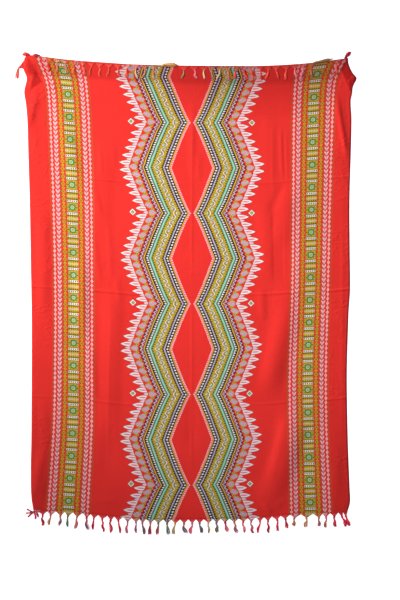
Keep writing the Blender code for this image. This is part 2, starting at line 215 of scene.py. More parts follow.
# The parts of the corners that are turned under
LEFT_FLAP = outline(
    (-568, 803), (-581, 797), (-585, 762), (-573, 738), (-578, 708), (-560, 700), (-526, 727),
    (-545, 792),
)
RIGHT_FLAP = outline(
    (541, 797), (526, 786), (532, 750), (541, 719), (553, 695), (559, 712), (569, 738),
    (559, 750), (544, 782),
)

# Where the print's columns lie down the cloth, which hangs a little uneven: a height, then the
# left border's two edges, the middle and the right border's two edges
PRINT_ROWS = (
    (800, -545, -374, -2, 364, 541), (741, -520, -362, -2, 353, 511),
    (690, -509, -356, -1, 348, 502), (595, -503, -350, -1, 345, 498),
    (313, -492, -341, 0, 343, 489), (0, -485, -339, 0, 340, 482),
    (-278, -486, -339, 0, 331, 475), (-487, -491, -340, -1, 332, 477),
    (-769, -510, -353, -3, 336, 489),
)
PRINT_COLUMNS = (-486.0, -340.0, 0.0, 340.0, 486.0)

# The largest folds, which the solids have too, some of them higher
FOLDS = folds(
    (345, 380, 304, 120, 0, 44, 6), (335, 60, 254, -400, 0, 52, 3.5),
    (335, -400, 272, -690, 0, 46, 2.5), (262, 640, 280, 330, 0, 40, 1.2),
    (-300, 560, -318, 150, 0, 48, 2.4), (-270, 80, -296, -600, 0, 48, 4),
    (-386, 160, -383, -190, 0, 34, 5), (-563, 695, -556, 500, 0, 32, 1.4),
    (-470, 690, -395, 330, 0, 40, 4), (494, 716, 534, 430, 0, 34, 2),
    (-549, -742, -516, -540, 0, 30, 5), (508, -735, 484, -450, 0, 38, 1),
)

# Finer creases, placed one by one
CREASES = folds(
    # Left corner and margin
    (-538, 712, -534, 620, 3.5, 12, 1.4), (-549, 760, -568, 700, 1.5, 8, 1.6),
    (-571, 640, -567, 548, 1.5, 12, 1.8), (-540, 696, -567, 556, 1.5, 17, 3.0),
    (-553, 463, -536, 543, 0, 10, 1.2), (-543, 452, -522, 522, 0, 9, 0.8),
    (-525, 333, -519, -157, -5.2, 31, 3.4), (-515, -355, -508, -633, 3.5, 24, 1.6),
    (-560, 190, -522, 193, 0, 6, 0.4), (-553, -456, -505, -445, 0, 6, 0.45),
    (-532, -752, -491, -557, 3.5, 14, 2),
    # Left ground
    (-272, 520, -268, 412, 1.5, 8, 1.1), (-344, 208, -318, 10, 1.5, 13, 1.4),
    (-319, 505, -315, 392, 0.8, 9, 1.1), (-348, 397, -317, 251, 2.1, 17, 2),
    (-289, 244, -278, 21, 2.8, 14, 1.2), (-278, 7, -292, -668, 4.2, 8, 0.8),
    (-289, -348, -296, -689, 0, 38, -1.2), (-355, -181, -331, -397, 3.5, 21, 2),
    (-264, 52, -247, -52, 1.7, 14, 1.4), (-362, -727, -247, -731, 3.5, 14, 1.6),
    # Middle
    (2, 668, 2, 362, 1.4, 19, 1.8), (24, 494, 21, 369, 0, 17, 1.4),
    (2, 690, -1, -20, 1.0, 5.5, 1.0), (-1, 40, -3, -700, -1.0, 5.5, 0.9),
    (-17, 94, -3, 171, 0, 7, 0.4), (31, -191, 49, -122, 0, 7, 0.5),
    (-2, -355, -2, -564, 0, 28, -1.4),
    # Right ground
    (356, -395, 322, -700, 0, 62, 3.8), (374, 600, 372, -150, 0, 72, 2.4),
    (324, 376, 266, 258, 0, 17, -1.7), (281, 292, 286, 0, 0, 9, -0.9),
    (330, -425, 264, -690, 0, 22, 1.6), (358, -10, 257, -388, 0, 56, 4.6),
    (384, -420, 244, -790, 0, 60, 5.6), (350, 390, 306, 110, 0, 42, -3),
    (309, 585, 316, 369, 2.0, 10, 1.7), (327, 570, 333, 360, 1.5, 8, 0.9),
    (282, 599, 283, 300, 2.1, 10, 0.6), (244, 355, 264, -14, -5.2, 42, 2.4),
    (310, 251, 306, -7, 1.4, 7, 0.4), (324, 264, 325, 14, 1.4, 7, 0.45),
    (240, 17, 251, -118, 1.7, 21, 2), (244, -738, 282, -776, 1.7, 14, 2),
    (334, -727, 289, -755, 1.4, 12, 1.4),
    # Right corner and margin
    (553, 748, 549, 700, 6, 5, 1.8), (549, 747, 566, 742, 1.5, 5, 1.2),
    (536, 776, 548, 752, 1.5, 7, 1.3), (500, 700, 547, 430, 3.5, 13, 3.4),
    (548, 700, 552, 571, 0, 15, 1.0), (527, 383, 524, -668, 2.8, 9, 0.7),
    (491, -470, 532, -442, 1, 8, 0.7), (487, -498, 539, -480, 1, 8, 0.8),
    (508, -515, 505, -752, 3.5, 21, 0.8), (480, -421, 536, -423, 0, 6, 0.4),
)
PRESSES = (
    Press(410, 5.5, 1.4, 1.5, 0.4),
    Press(801, 6, 2.2, 2.0, 2.1),
    Press(1184, 5.5, 1.4, 1.5, 4.0),
)
PRESS_PLACES = (-560, -430, -320, -60, 150, 300, 420, 520)
PRESS_STRENGTHS = (0.8, 0.5, 1.1, 0.3, 0.4, 0.8, 0.6, 1.2)

# Top tassels that lie beyond the edge, the corner's tassel and the untied threads
STRAYS = (
    Course(0, 226, 288, 15, 20, 1.3),
    Course(1, 228, 266, 10, 27, 1.0),
    Course(15, 122, 86, 14, 56, 1.3),
    Course(33, 110, 101, 14, 50, 1.0),
    Course(36, 182, 137, 10, 32, 1.75),
)
SIDE_TASSEL = Course(0, -62, -6, 32, 57, 1.15)
SIDE_TASSEL_TOP = 801.0
SIDE_TASSEL_BOTTOM = 768.0
LOOSE_THREADS = (
    Thread(-546, 2.0, -60, -120, 31, 5, 4, False),
    Thread(-546, 3.0, -66, -80, 34, 5, 3, False),
    Thread(-546, 4.0, -70, -48, 33, 5, 4, False),
    Thread(-549, -3.0, -12, -20, 10, 6, 10, False),
    Thread(-547, 3.0, 0, 8, 26, 7, 5, False),
    Thread(-543, 2.0, 24, 36, 23, 4, 6, False),
    Thread(-544, 2.0, 8, 20, 26, 5, 12, True),
    Thread(-546, -2.0, 66, 80, 21, 5, 14, True),
    Thread(-535, -2.0, 40, 60, 13, 3, 14, True),
)


def linear(colour: Sequence[float]) -> list[float]:
    """A screen colour, from 0 to 255, as linear light."""
    shares = [value / 255 for value in colour]
    return [s / 12.92 if s <= 0.04045 else ((s + 0.055) / 1.055) ** 2.4 for s in shares]


class Ink(Enum):
    """The print's colours."""

    RED = (240, 46, 38)
    MAROON = (122, 28, 48)
    PINK = (250, 192, 198)
    PAPER = (244, 236, 226)
    ROSE = (244, 124, 136)
    ORANGE = (238, 142, 42)
    GOLD = (224, 188, 30)
    MUSTARD = (198, 166, 22)
    OLIVE = (128, 104, 40)
    MINT = (122, 196, 158)
    PINE = (38, 118, 80)
    EMERALD = (52, 152, 72)
    AUBERGINE = (50, 34, 46)
    LILAC = (206, 196, 206)

    @property
    def linear(self) -> tuple[float, float, float, float]:
        """The ink as a linear colour."""
        return (*linear(self.value), 1.0)


class Tone(Enum):
    """The fringe yarn's colours, each left by the print above it."""

    FLAME = (255, 92, 70)
    SCARLET = (250, 60, 54)
    CRIMSON = (232, 46, 70)
    DEEP = (208, 50, 78)
    ROSE = (255, 136, 146)
    RUST = (212, 126, 92)
    MUSTARD = (226, 172, 88)
    SAND = (220, 196, 146)
    OLIVE = (140, 138, 100)
    MINT = (132, 158, 136)
    MAUVE = (196, 128, 140)
    WINE = (164, 32, 46)
    BLUSH = (230, 188, 198)
    INK = (136, 114, 126)

    @property
    def linear(self) -> Array:
        """The tone as a linear colour."""
        return np.array(linear(self.value))


class Hang(NamedTuple):
    """A lower tassel: its root, headings, length and fullness, and its cord's and tuft's tones."""

    x: float
    leave: float
    settle: float
    length: float
    fullness: float
    cord: Tone
    tuft: Tone


LOWER_TASSELS = tuple(Hang(*row) for row in (
    (-518, -10, 4, 50, 1.0, Tone.CRIMSON, Tone.CRIMSON),
    (-491, -4, -14, 47, 0.9, Tone.RUST, Tone.MUSTARD),
    (-457, -2, -6, 47, 1.1, Tone.RUST, Tone.MAUVE),
    (-429, -16, 4, 50, 0.95, Tone.OLIVE, Tone.MINT),
    (-398, -8, -8, 55, 1.0, Tone.RUST, Tone.ROSE),
    (-364, -14, 10, 56, 1.25, Tone.CRIMSON, Tone.MAUVE),
    (-339, -12, -4, 53, 0.8, Tone.CRIMSON, Tone.CRIMSON),
    (-312, 0, 8, 57, 0.9, Tone.SCARLET, Tone.CRIMSON),
    (-280, -14, 6, 57, 1.3, Tone.CRIMSON, Tone.ROSE),
    (-259, 14, 8, 56, 0.8, Tone.CRIMSON, Tone.CRIMSON),
    (-223, -6, -6, 53, 0.85, Tone.MAUVE, Tone.ROSE),
    (-195, 0, 0, 50, 0.8, Tone.MAUVE, Tone.DEEP),
    (-173, 2, 14, 54, 1.2, Tone.MAUVE, Tone.INK),
    (-144, -4, -6, 53, 1.1, Tone.RUST, Tone.DEEP),
    (-118, 4, -8, 52, 1.1, Tone.OLIVE, Tone.DEEP),
    (-85, -10, 14, 52, 1.2, Tone.OLIVE, Tone.MINT),
    (-58, -4, -16, 51, 1.0, Tone.MUSTARD, Tone.SAND),
    (-26, -14, 12, 47, 1.4, Tone.RUST, Tone.INK),
    (1, -4, -12, 50, 1.55, Tone.ROSE, Tone.ROSE),
    (25, 6, 12, 47, 1.15, Tone.INK, Tone.INK),
    (58, -8, 8, 49, 1.0, Tone.SAND, Tone.SAND),
    (87, -12, 12, 46, 1.25, Tone.INK, Tone.OLIVE),
    (114, 4, 18, 46, 1.4, Tone.DEEP, Tone.ROSE),
    (145, 10, 10, 51, 1.2, Tone.RUST, Tone.MAUVE),
    (181, -18, 16, 50, 0.95, Tone.CRIMSON, Tone.ROSE),
    (206, -4, 12, 53, 0.85, Tone.MAUVE, Tone.CRIMSON),
    (236, 2, -18, 54, 0.85, Tone.SCARLET, Tone.CRIMSON),
    (264, 0, 2, 55, 0.9, Tone.CRIMSON, Tone.CRIMSON),
    (292, 20, -4, 52, 1.1, Tone.CRIMSON, Tone.CRIMSON),
    (321, 18, 8, 46, 1.25, Tone.DEEP, Tone.CRIMSON),
    (360, -22, -6, 41, 1.2, Tone.RUST, Tone.MUSTARD),
    (397, 4, -4, 45, 1.35, Tone.MUSTARD, Tone.RUST),
    (443, -10, 4, 43, 1.1, Tone.RUST, Tone.MAUVE),
    (464, 12, -12, 48, 0.95, Tone.RUST, Tone.RUST),
    (497, -14, 12, 48, 1.2, Tone.DEEP, Tone.CRIMSON),
))


class CornerTassel(NamedTuple):
    """One of the two tassels that lie together at the lower right corner."""

    place: float
    course: Course


CORNER_PAIR = (
    CornerTassel(0.9793, Course(35, 14, 24, 20, 51, 1.3)),
    CornerTassel(0.9918, Course(36, 11, 21, 20, 49, 1.3)),
)
TOP_TONES = (
    (Tone.SCARLET, 1), (Tone.WINE, 1), (Tone.SCARLET, 1), (Tone.RUST, 2), (Tone.FLAME, 7),
    (Tone.SAND, 1), (Tone.RUST, 2), (Tone.MUSTARD, 2), (Tone.OLIVE, 1), (Tone.ROSE, 1),
    (Tone.SAND, 1), (Tone.OLIVE, 1), (Tone.SAND, 1), (Tone.RUST, 1), (Tone.SCARLET, 2),
    (Tone.FLAME, 5), (Tone.ROSE, 2), (Tone.RUST, 1), (Tone.OLIVE, 2), (Tone.FLAME, 1),
    (Tone.WINE, 1),
)


def spell_out(runs: Sequence[tuple[Tone, int]]) -> list[Tone]:
    """One tone for each slot, from runs of (tone, slots)."""
    return [tone for tone, count in runs for _ in range(count)]


def ease(t: Array | float) -> Array:
    """Soft step from 0 to 1."""
    t = np.clip(t, 0.0, 1.0)
    return t * t * (3 - 2 * t)


def mix(a: Array | float, b: Array | float, t: Array | float) -> Array:
    """The value a share t of the way from a to b."""
    return a + (b - a) * t


def toward(heading: Array | float) -> tuple[Array, Array]:
    """Level unit vector of a heading, in degrees from -Y towards +X."""
    angle = np.radians(heading)
    return np.sin(angle), -np.cos(angle)


def middle_of(flap: Edge) -> Pair:
    """The mean of an outline's points."""
    return sum(point.x for point in flap) / len(flap), sum(point.y for point in flap) / len(flap)


def stations(count: int, length: float, places: Sequence[Sequence[float]]) -> Array:
    """Shares from 0 to 1 that lie closer together round some places.

    Args:
        count: How many steps there are.
        length: The length that the places are measured on.
        places: For each, its middle, its reach and how many times denser it is.

    Returns:
        The shares, one more than the steps.
    """
    fine = np.linspace(0.0, length, FINE_STEPS + 1)
    density = np.ones_like(fine)
    for middle, reach, times in places:
        density += (times - 1) * np.exp(-(((fine - middle) / reach) ** 2))
    total = np.concatenate(([0.0], np.cumsum((density[1:] + density[:-1]) / 2)))
    return np.interp(np.linspace(0, total[-1], count + 1), total, fine) / length


class Curve:
    """A smooth curve through a short table, the same one that the solids follow."""

    def __init__(self, places: Sequence[float], values: Sequence[float]) -> None:
        """Sorts the table and finds the slope at each of its places.

        Args:
            places: Where the values are.
            values: The values there.
        """
        order = np.argsort(places)
        self.places = np.asarray(places, float)[order]
        self.values = np.asarray(values, float)[order]
        k = np.arange(len(order))
        after = np.minimum(k + 1, k[-1])
        before = np.maximum(k - 1, 0)
        run = self.places[after] - self.places[before]
        self.slopes = (self.values[after] - self.values[before]) / run

    def at(self, place: Array | float) -> Array:
        """The curve's value at each place."""
        place = np.clip(place, self.places[0], self.places[-1])
        k = np.searchsorted(self.places, place, side="right") - 1
        k = np.clip(k, 0, len(self.places) - 2)
        span = self.places[k + 1] - self.places[k]
        t = (place - self.places[k]) / span
        return (
            self.values[k] * (1 + 2 * t) * (1 - t) ** 2
            + self.slopes[k] * span * t * (1 - t) ** 2
            + self.values[k + 1] * t * t * (3 - 2 * t)
            + self.slopes[k + 1] * span * t * t * (t - 1)
        )


def edge_curve(edge: Edge) -> Curve:
    """A top or bottom edge, as y over x."""
    return Curve([point.x for point in edge], [point.y for point in edge])


def side_curve(edge: Edge) -> Curve:
    """A left or right edge, as x over y."""
    return Curve([point.y for point in edge], [point.x for point in edge])


class ClothPlan:
    """Where the cloth lies: its outline, its print's columns and its height."""

    SWELL_SEED = 7
    SWELL_COUNT = 9
    SWELL_PITCH = (0.02, 0.07)
    SWELL_HEIGHT = 0.1
    PRESS_WAVE = 90.0
    FLOOR_SOFT = 0.02

    def __init__(self) -> None:
        """Reads the tables."""
        self.top = edge_curve(TOP_EDGE)
        self.bottom = edge_curve(BOTTOM_EDGE)
        self.left = side_curve(LEFT_EDGE)
        self.right = side_curve(RIGHT_EDGE)
        heights, *columns = zip(*PRINT_ROWS)
        self.columns = [Curve(heights, column) for column in columns]
        self.strengths = Curve(PRESS_PLACES, PRESS_STRENGTHS)
        draw = random.Random(self.SWELL_SEED)
        self.swells = [
            (draw.uniform(*self.SWELL_PITCH), draw.uniform(0, math.pi), draw.uniform(0, math.tau))
            for _ in range(self.SWELL_COUNT)
        ]

    def end_point(self, edge: Edge, across: Array | float) -> tuple:
        """Point on the top or bottom edge, a share across of the way from left to right."""
        curve = self.top if edge is TOP_EDGE else self.bottom
        x = mix(edge[0].x, edge[-1].x, across)
        return x, curve.at(x)

    def at(self, across: Array, along: Array) -> tuple[Array, Array]:
        """Plan of the cloth from its four edges.

        Args:
            across: Shares from the left edge to the right.
            along: Shares from the top edge to the bottom.

        Returns:
            The places across and along, in millimetres.
        """
        top_y, low_y = (self.end_point(edge, across)[1] for edge in (TOP_EDGE, BOTTOM_EDGE))
        left_y = mix(LEFT_EDGE[0].y, LEFT_EDGE[-1].y, along)
        right_y = mix(RIGHT_EDGE[0].y, RIGHT_EDGE[-1].y, along)
        side_x = mix(self.left.at(left_y), self.right.at(right_y), across)
        side_y = mix(left_y, right_y, across)
        corner_y = mix(
            mix(TOP_EDGE[0].y, TOP_EDGE[-1].y, across),
            mix(BOTTOM_EDGE[0].y, BOTTOM_EDGE[-1].y, across),
            along,
        )
        return side_x, side_y + mix(top_y, low_y, along) - corner_y

    def print_across(self, x: Array, y: Array) -> Array:
        """Place across the print, in millimetres from its middle, of points of the plan."""
        lines = [column.at(y) for column in self.columns]
        found = PRINT_COLUMNS[0] + (x - lines[0])
        for k in range(len(lines) - 1):
            share = (x - lines[k]) / (lines[k + 1] - lines[k])
            found = np.where(share >= 0, mix(PRINT_COLUMNS[k], PRINT_COLUMNS[k + 1], share), found)
        return np.where(x > lines[-1], PRINT_COLUMNS[-1] + (x - lines[-1]), found)

    def corner_lift(self, flap: Edge, x: Array, y: Array) -> Array:
        """How far a turned corner lifts the cloth that lies on it."""
        middle_x, middle_y = middle_of(flap)
        away = np.hypot(x - middle_x, y - middle_y)
        return (FLAP_WALL + SEAM_GAP) * ease((LIFT_OUTER - away) / (LIFT_OUTER - LIFT_INNER))

    def height(self, x: Array, y: Array, along: Array) -> Array:
        """Height of the cloth's face above the floor.

        Args:
            x: Places across, in millimetres.
            y: Places along, in millimetres.
            along: Length of cloth above each place, in millimetres.

        Returns:
            The heights, in millimetres.
        """
        rise = sum(fold.lift(x, y) for fold in FOLDS + CREASES)
        rise = rise + self.corner_lift(LEFT_FLAP, x, y) + self.corner_lift(RIGHT_FLAP, x, y)
        strength = self.strengths.at(x)
        for press in PRESSES:
            line = press.along + press.wander * np.sin(x / self.PRESS_WAVE + press.phase)
            aside = np.clip(np.abs(along - line) / press.reach, 0, 1)
            rise = rise + press.height * strength * (1 - aside**2) ** 2
        for pitch, turn, phase in self.swells:
            way = x * math.cos(turn) + y * math.sin(turn)
            rise = rise + self.SWELL_HEIGHT * np.sin(way * pitch + phase)
        edge = np.minimum(x - self.left.at(y), self.right.at(y) - x)
        edge = np.minimum(edge, np.minimum(along, CUT_LENGTH / MM - along))
        rise = rise + LOFT * ease(edge / LOFT_REACH)
        return REST_HEIGHT + SHELL + (rise + np.sqrt(rise * rise + self.FLOOR_SOFT)) / 2


@dataclass(frozen=True)
class Placement:
    """Turns the tables' millimetres into the frame's metres."""

    shift_x: float
    shift_y: float

    @classmethod
    def from_frame(cls) -> "Placement":
        """Finds the shift from where the frame has the left corner's turned part."""
        flap = np.array(LEFT_FLAP, float)
        inward = middle_of(LEFT_FLAP) - flap
        inset = flap + inward / np.hypot(*inward.T)[:, None] * FLAP_INSET
        low, _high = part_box("corner_left")
        least_x, least_y = inset.min(axis=0).tolist()
        return cls(low.x - least_x * MM, low.y - least_y * MM)

    def place(self, points: Array) -> Array:
        """Points of a table as points of the frame."""
        return points * MM + np.array([self.shift_x, self.shift_y, 0.0])


@dataclass
class Draft:
    """The points, faces and point values of one piece while it is made."""

    points: list[Array] = field(default_factory=list)
    prints: list[Array] = field(default_factory=list)
    marks: list[Array] = field(default_factory=list)
    faces: list[tuple[int, ...]] = field(default_factory=list)
    count: int = 0

    def add_grid(self, points: Array, places: Array, marks: Array, tube: bool = False) -> None:
        """Adds rows of points, with faces between them.

        Args:
            points: Rows by columns by three.
            places: Rows by columns by two, the place on the print in metres.
            marks: Rows by columns by three, the finish's point values.
            tube: Whether each row closes on itself, with a cap at both ends.
        """
        rows, columns = points.shape[:2]
        first = self.count
        index = first + np.arange(rows * columns).reshape(rows, columns)
        if tube:
            beside = np.roll(index, -1, axis=1)
            quads = np.stack([index[:-1], beside[:-1], beside[1:], index[1:]], axis=-1)
            self.faces.append(tuple(index[0][::-1].tolist()))
            self.faces.append(tuple(index[-1].tolist()))
        else:
            corners = index[:-1, :-1], index[1:, :-1], index[1:, 1:], index[:-1, 1:]
            quads = np.stack(corners, axis=-1)
        self.faces.extend(map(tuple, quads.reshape(-1, 4).tolist()))
        self.points.append(points.reshape(-1, 3))
        self.prints.append(places.reshape(-1, 2))
        self.marks.append(marks.reshape(-1, 3))
        self.count += rows * columns

    def build(self, name: str, placement: Placement) -> Piece:
        """Makes the object.

        Args:
            name: The piece's name.
            placement: The way into the frame.

        Returns:
            The new object, shaded smooth.
        """
        mesh = bpy.data.meshes.new(name)
        points = placement.place(np.concatenate(self.points))
        mesh.from_pydata(points.tolist(), [], self.faces)
        corners = np.empty(len(mesh.loops), int)
        mesh.loops.foreach_get("vertex_index", corners)
        layer = mesh.uv_layers.new(name="print")
        layer.data.foreach_set("uv", np.concatenate(self.prints)[corners].ravel())
        colours = np.ones((self.count, 4))
        colours[:, :3] = np.concatenate(self.marks)
        attribute = mesh.color_attributes.new(name="marks", type="FLOAT_COLOR", domain="POINT")
        attribute.data.foreach_set("color", colours.ravel())
        mesh.shade_smooth()
        made = bpy.data.objects.new(name, mesh)
        bpy.context.scene.collection.objects.link(made)
        return made


def give_wall(made: Piece) -> None:
    """Gives an open sheet its wall behind its face, whose far side takes the second material."""
    bpy.ops.object.select_all(action="DESELECT")
    made.select_set(True)
    bpy.context.view_layer.objects.active = made
    wall = made.modifiers.new("wall", "SOLIDIFY")
    wall.thickness = SHELL * MM
    wall.offset = -1.0
    wall.material_offset = 1
    bpy.ops.object.modifier_apply(modifier=wall.name)


def route(start: Array, course: Course) -> Array:
    """Points along a strand, one each half millimetre, the same as the solids'.

    Args:
        start: Where the strand leaves its strip.
        course: Its way.

    Returns:
        The points, two numbers each.
    """
    done = np.arange(0.0, course.length, ROUTE_STEP)
    heading = mix(course.leave, course.settle, ease(done / course.turn))
    east, north = toward(heading)
    steps = np.stack([east, north], axis=-1) * ROUTE_STEP
    return np.concatenate([start[None, :], start + np.cumsum(steps, axis=0)])


def top_tassel(slot: int) -> Course:
    """An ordinary tassel's course: it leaves one way and curves back the other."""
    draw = random.Random(TOP_SEED + slot)
    lean = PAIR_LEAN * (-1) ** slot + draw.uniform(-LEAN_SPREAD, LEAN_SPREAD)
    length = TASSEL_LENGTH + draw.uniform(-LENGTH_SPREAD, LENGTH_SPREAD)
    leave = -lean * draw.random()
    return Course(slot, leave, lean * END_LEAN, length * CURVE_SHARE, length, 1.0)


class Nodes:
    """A node tree to which nodes are added."""

    def __init__(self, tree: Tree) -> None:
        """Holds the tree."""
        self.tree = tree

    def feed(self, place: Socket, value: object) -> None:
        """Joins an output to an input, or sets the input to a plain value."""
        if isinstance(value, Num):
            value = value.socket
        if isinstance(value, Socket):
            self.tree.links.new(value, place)
        else:
            place.default_value = value

    def add(self, kind: str, feeds: dict | None = None, **settings: object) -> bpy.types.Node:
        """Adds a node.

        Args:
            kind: Its type.
            feeds: What its inputs take, by their names or numbers.
            settings: Its properties.

        Returns:
            The node.
        """
        made = self.tree.nodes.new(kind)
        for name, value in settings.items():
            setattr(made, name, value)
        for place, value in (feeds or {}).items():
            self.feed(made.inputs[place], value)
        return made

    def noise(self, vector: Socket, scale: float, detail: float = 2.0) -> "Num":
        """Soft noise, from about 0.3 to 0.7."""
        feeds = {"Vector": vector, "Scale": scale, "Detail": detail}
        return Num(self.tree, self.add("ShaderNodeTexNoise", feeds).outputs[0])

    def blend(self, kind: str, under: object, over: object, share: object) -> Socket:
        """Blends two colours.

        Args:
            kind: The way that they are blended.
            under: The first colour.
            over: The second colour.
            share: How much of the second there is.

        Returns:
            The blended colour.
        """
        feeds = {0: share, 6: under, 7: over}
        return self.add("ShaderNodeMix", feeds, data_type="RGBA", blend_type=kind).outputs[2]


def operator(operation: str) -> Callable[..., "Num"]:
    """A method of Num that adds one math node."""
    return lambda number, *others: number._math(operation, *others)


class Num:
    """A number in a node tree. Arithmetic with it adds math nodes, so shapes read as formulas."""

    SOFT = 0.7

    def __init__(self, tree: Tree, socket: Socket) -> None:
        """Holds one output of a tree."""
        self.tree = tree
        self.socket = socket

    def _math(self, operation: str, *others: "Num | float", clamp: bool = False) -> "Num":
        """Adds one math node.

        Args:
            operation: What it does.
            others: Its other inputs.
            clamp: Whether its result is kept from 0 to 1.

        Returns:
            The result.
        """
        feeds = dict(enumerate((self, *others)))
        node = Nodes(self.tree).add("ShaderNodeMath", feeds, operation=operation, use_clamp=clamp)
        return Num(self.tree, node.outputs[0])

    def __rsub__(self, other: float) -> "Num":
        """Difference from a plain number."""
        return self._math("MULTIPLY_ADD", -1.0, other)

    def __truediv__(self, other: float) -> "Num":
        """Share of a plain number."""
        return self._math("MULTIPLY", 1.0 / other)

    # Sum, difference, product, power, size without its sign, and cosine
    __add__ = operator("ADD")
    __sub__ = operator("SUBTRACT")
    __mul__ = operator("MULTIPLY")
    __pow__ = operator("POWER")
    __abs__ = operator("ABSOLUTE")
    wave = operator("COSINE")

    # Where both masks are, and where either is
    __and__ = operator("MINIMUM")
    __or__ = operator("MAXIMUM")

    def line(self, factor: float, rest: float, clamp: bool = False) -> "Num":
        """The number times a factor, and a rest added."""
        return self._math("MULTIPLY_ADD", factor, rest, clamp=clamp)

    def ramp(self, start: float, run: float) -> "Num":
        """0 up to a start, and from there evenly up to 1 over a run."""
        return self.line(1 / run, -start / run, clamp=True)

    def as_shade(self, shade: float) -> "Num":
        """The factor that darkens by a shade where this mask is, and 1 elsewhere."""
        return self.line(shade - 1, 1.0)

    def from_nearest(self, pitch: float) -> "Num":
        """Distance to the nearest whole number of pitches."""
        return self._math("PINGPONG", pitch / 2)

    def below(self, limit: float, soft: float = SOFT) -> "Num":
        """Mask of where the number is under a limit, with a soft edge."""
        return self.line(-1 / soft, limit / soft + 0.5, clamp=True)

    def above(self, limit: float, soft: float = SOFT) -> "Num":
        """Mask of where the number is over a limit, with a soft edge."""
        return self.line(1 / soft, 0.5 - limit / soft, clamp=True)

    def within(self, low: float, high: float, soft: float = SOFT) -> "Num":
        """Mask of where the number is between two limits, with soft edges."""
        return abs(self - (low + high) / 2).below((high - low) / 2, soft)


def diamond(across: Num, half_width: float, along: Num, half_length: float) -> Num:
    """A diamond's measure: 0 at its middle and 1 at its edge."""
    return across / half_width + along / half_length


class Group(Nodes):
    """A shader node group while it is made."""

    def __init__(self, name: str, inputs: Sequence[str], outputs: dict[str, str]) -> None:
        """Makes the group with its sockets.

        Args:
            name: Its name.
            inputs: Names of its vector inputs.
            outputs: Socket type of each output, by name.
        """
        super().__init__(bpy.data.node_groups.new(name, "ShaderNodeTree"))
        for label in inputs:
            self.tree.interface.new_socket(label, in_out="INPUT", socket_type="NodeSocketVector")
        for label, kind in outputs.items():
            self.tree.interface.new_socket(label, in_out="OUTPUT", socket_type=kind)
        self.source = self.add("NodeGroupInput")
        self.result = self.add("NodeGroupOutput")

    def split(self, label: str) -> tuple[Num, Num, Num]:
        """The three numbers of a vector input."""
        parts = self.add("ShaderNodeSeparateXYZ", {0: self.source.outputs[label]})
        return tuple(Num(self.tree, socket) for socket in parts.outputs)

    def stretched(self, label: str, factors: tuple[float, float, float]) -> Socket:
        """A vector input with each of its numbers times a factor."""
        feeds = {0: self.source.outputs[label], 1: factors}
        return self.add("ShaderNodeVectorMath", feeds, operation="MULTIPLY").outputs[0]

    def give(self, label: str, result: Num | Socket) -> None:
        """Joins a result to one of the outputs."""
        self.feed(self.result.inputs[label], result)


class Canvas:
    """A print's colour so far, which each motif is painted over."""

    def __init__(self, nodes: Nodes, ground: Ink) -> None:
        """Starts with a plain ground.

        Args:
            nodes: The tree that the print is in.
            ground: Its ground colour.
        """
        self.nodes = nodes
        self.colour: Socket | tuple = ground.linear

    def paint(self, ink: Ink, mask: Num) -> None:
        """Paints an ink where a mask is."""
        self.colour = self.nodes.blend("MIX", self.colour, ink.linear, mask)

    def nest(
        self,
        measure: Num,
        soft: float,
        *rings: tuple[Ink, float] | tuple[Ink, float, float],
        inside: Num | None = None,
    ) -> None:
        """Paints a motif's inks over one another.

        Args:
            measure: Its measure, which grows outwards.
            soft: How soft its edges are.
            rings: Each ink with its limit, or with its inner and its outer limit.
            inside: Mask of the part that shows, if not all does.
        """
        for ink, *limits in rings:
            between = measure.within if len(limits) == 2 else measure.below
            mask = between(*limits, soft)
            self.paint(ink, mask if inside is None else mask & inside)


class Band(NamedTuple):
    """A stripe of the print, from its near edge to its far one, in millimetres."""

    low: float
    high: float
    ink: Ink


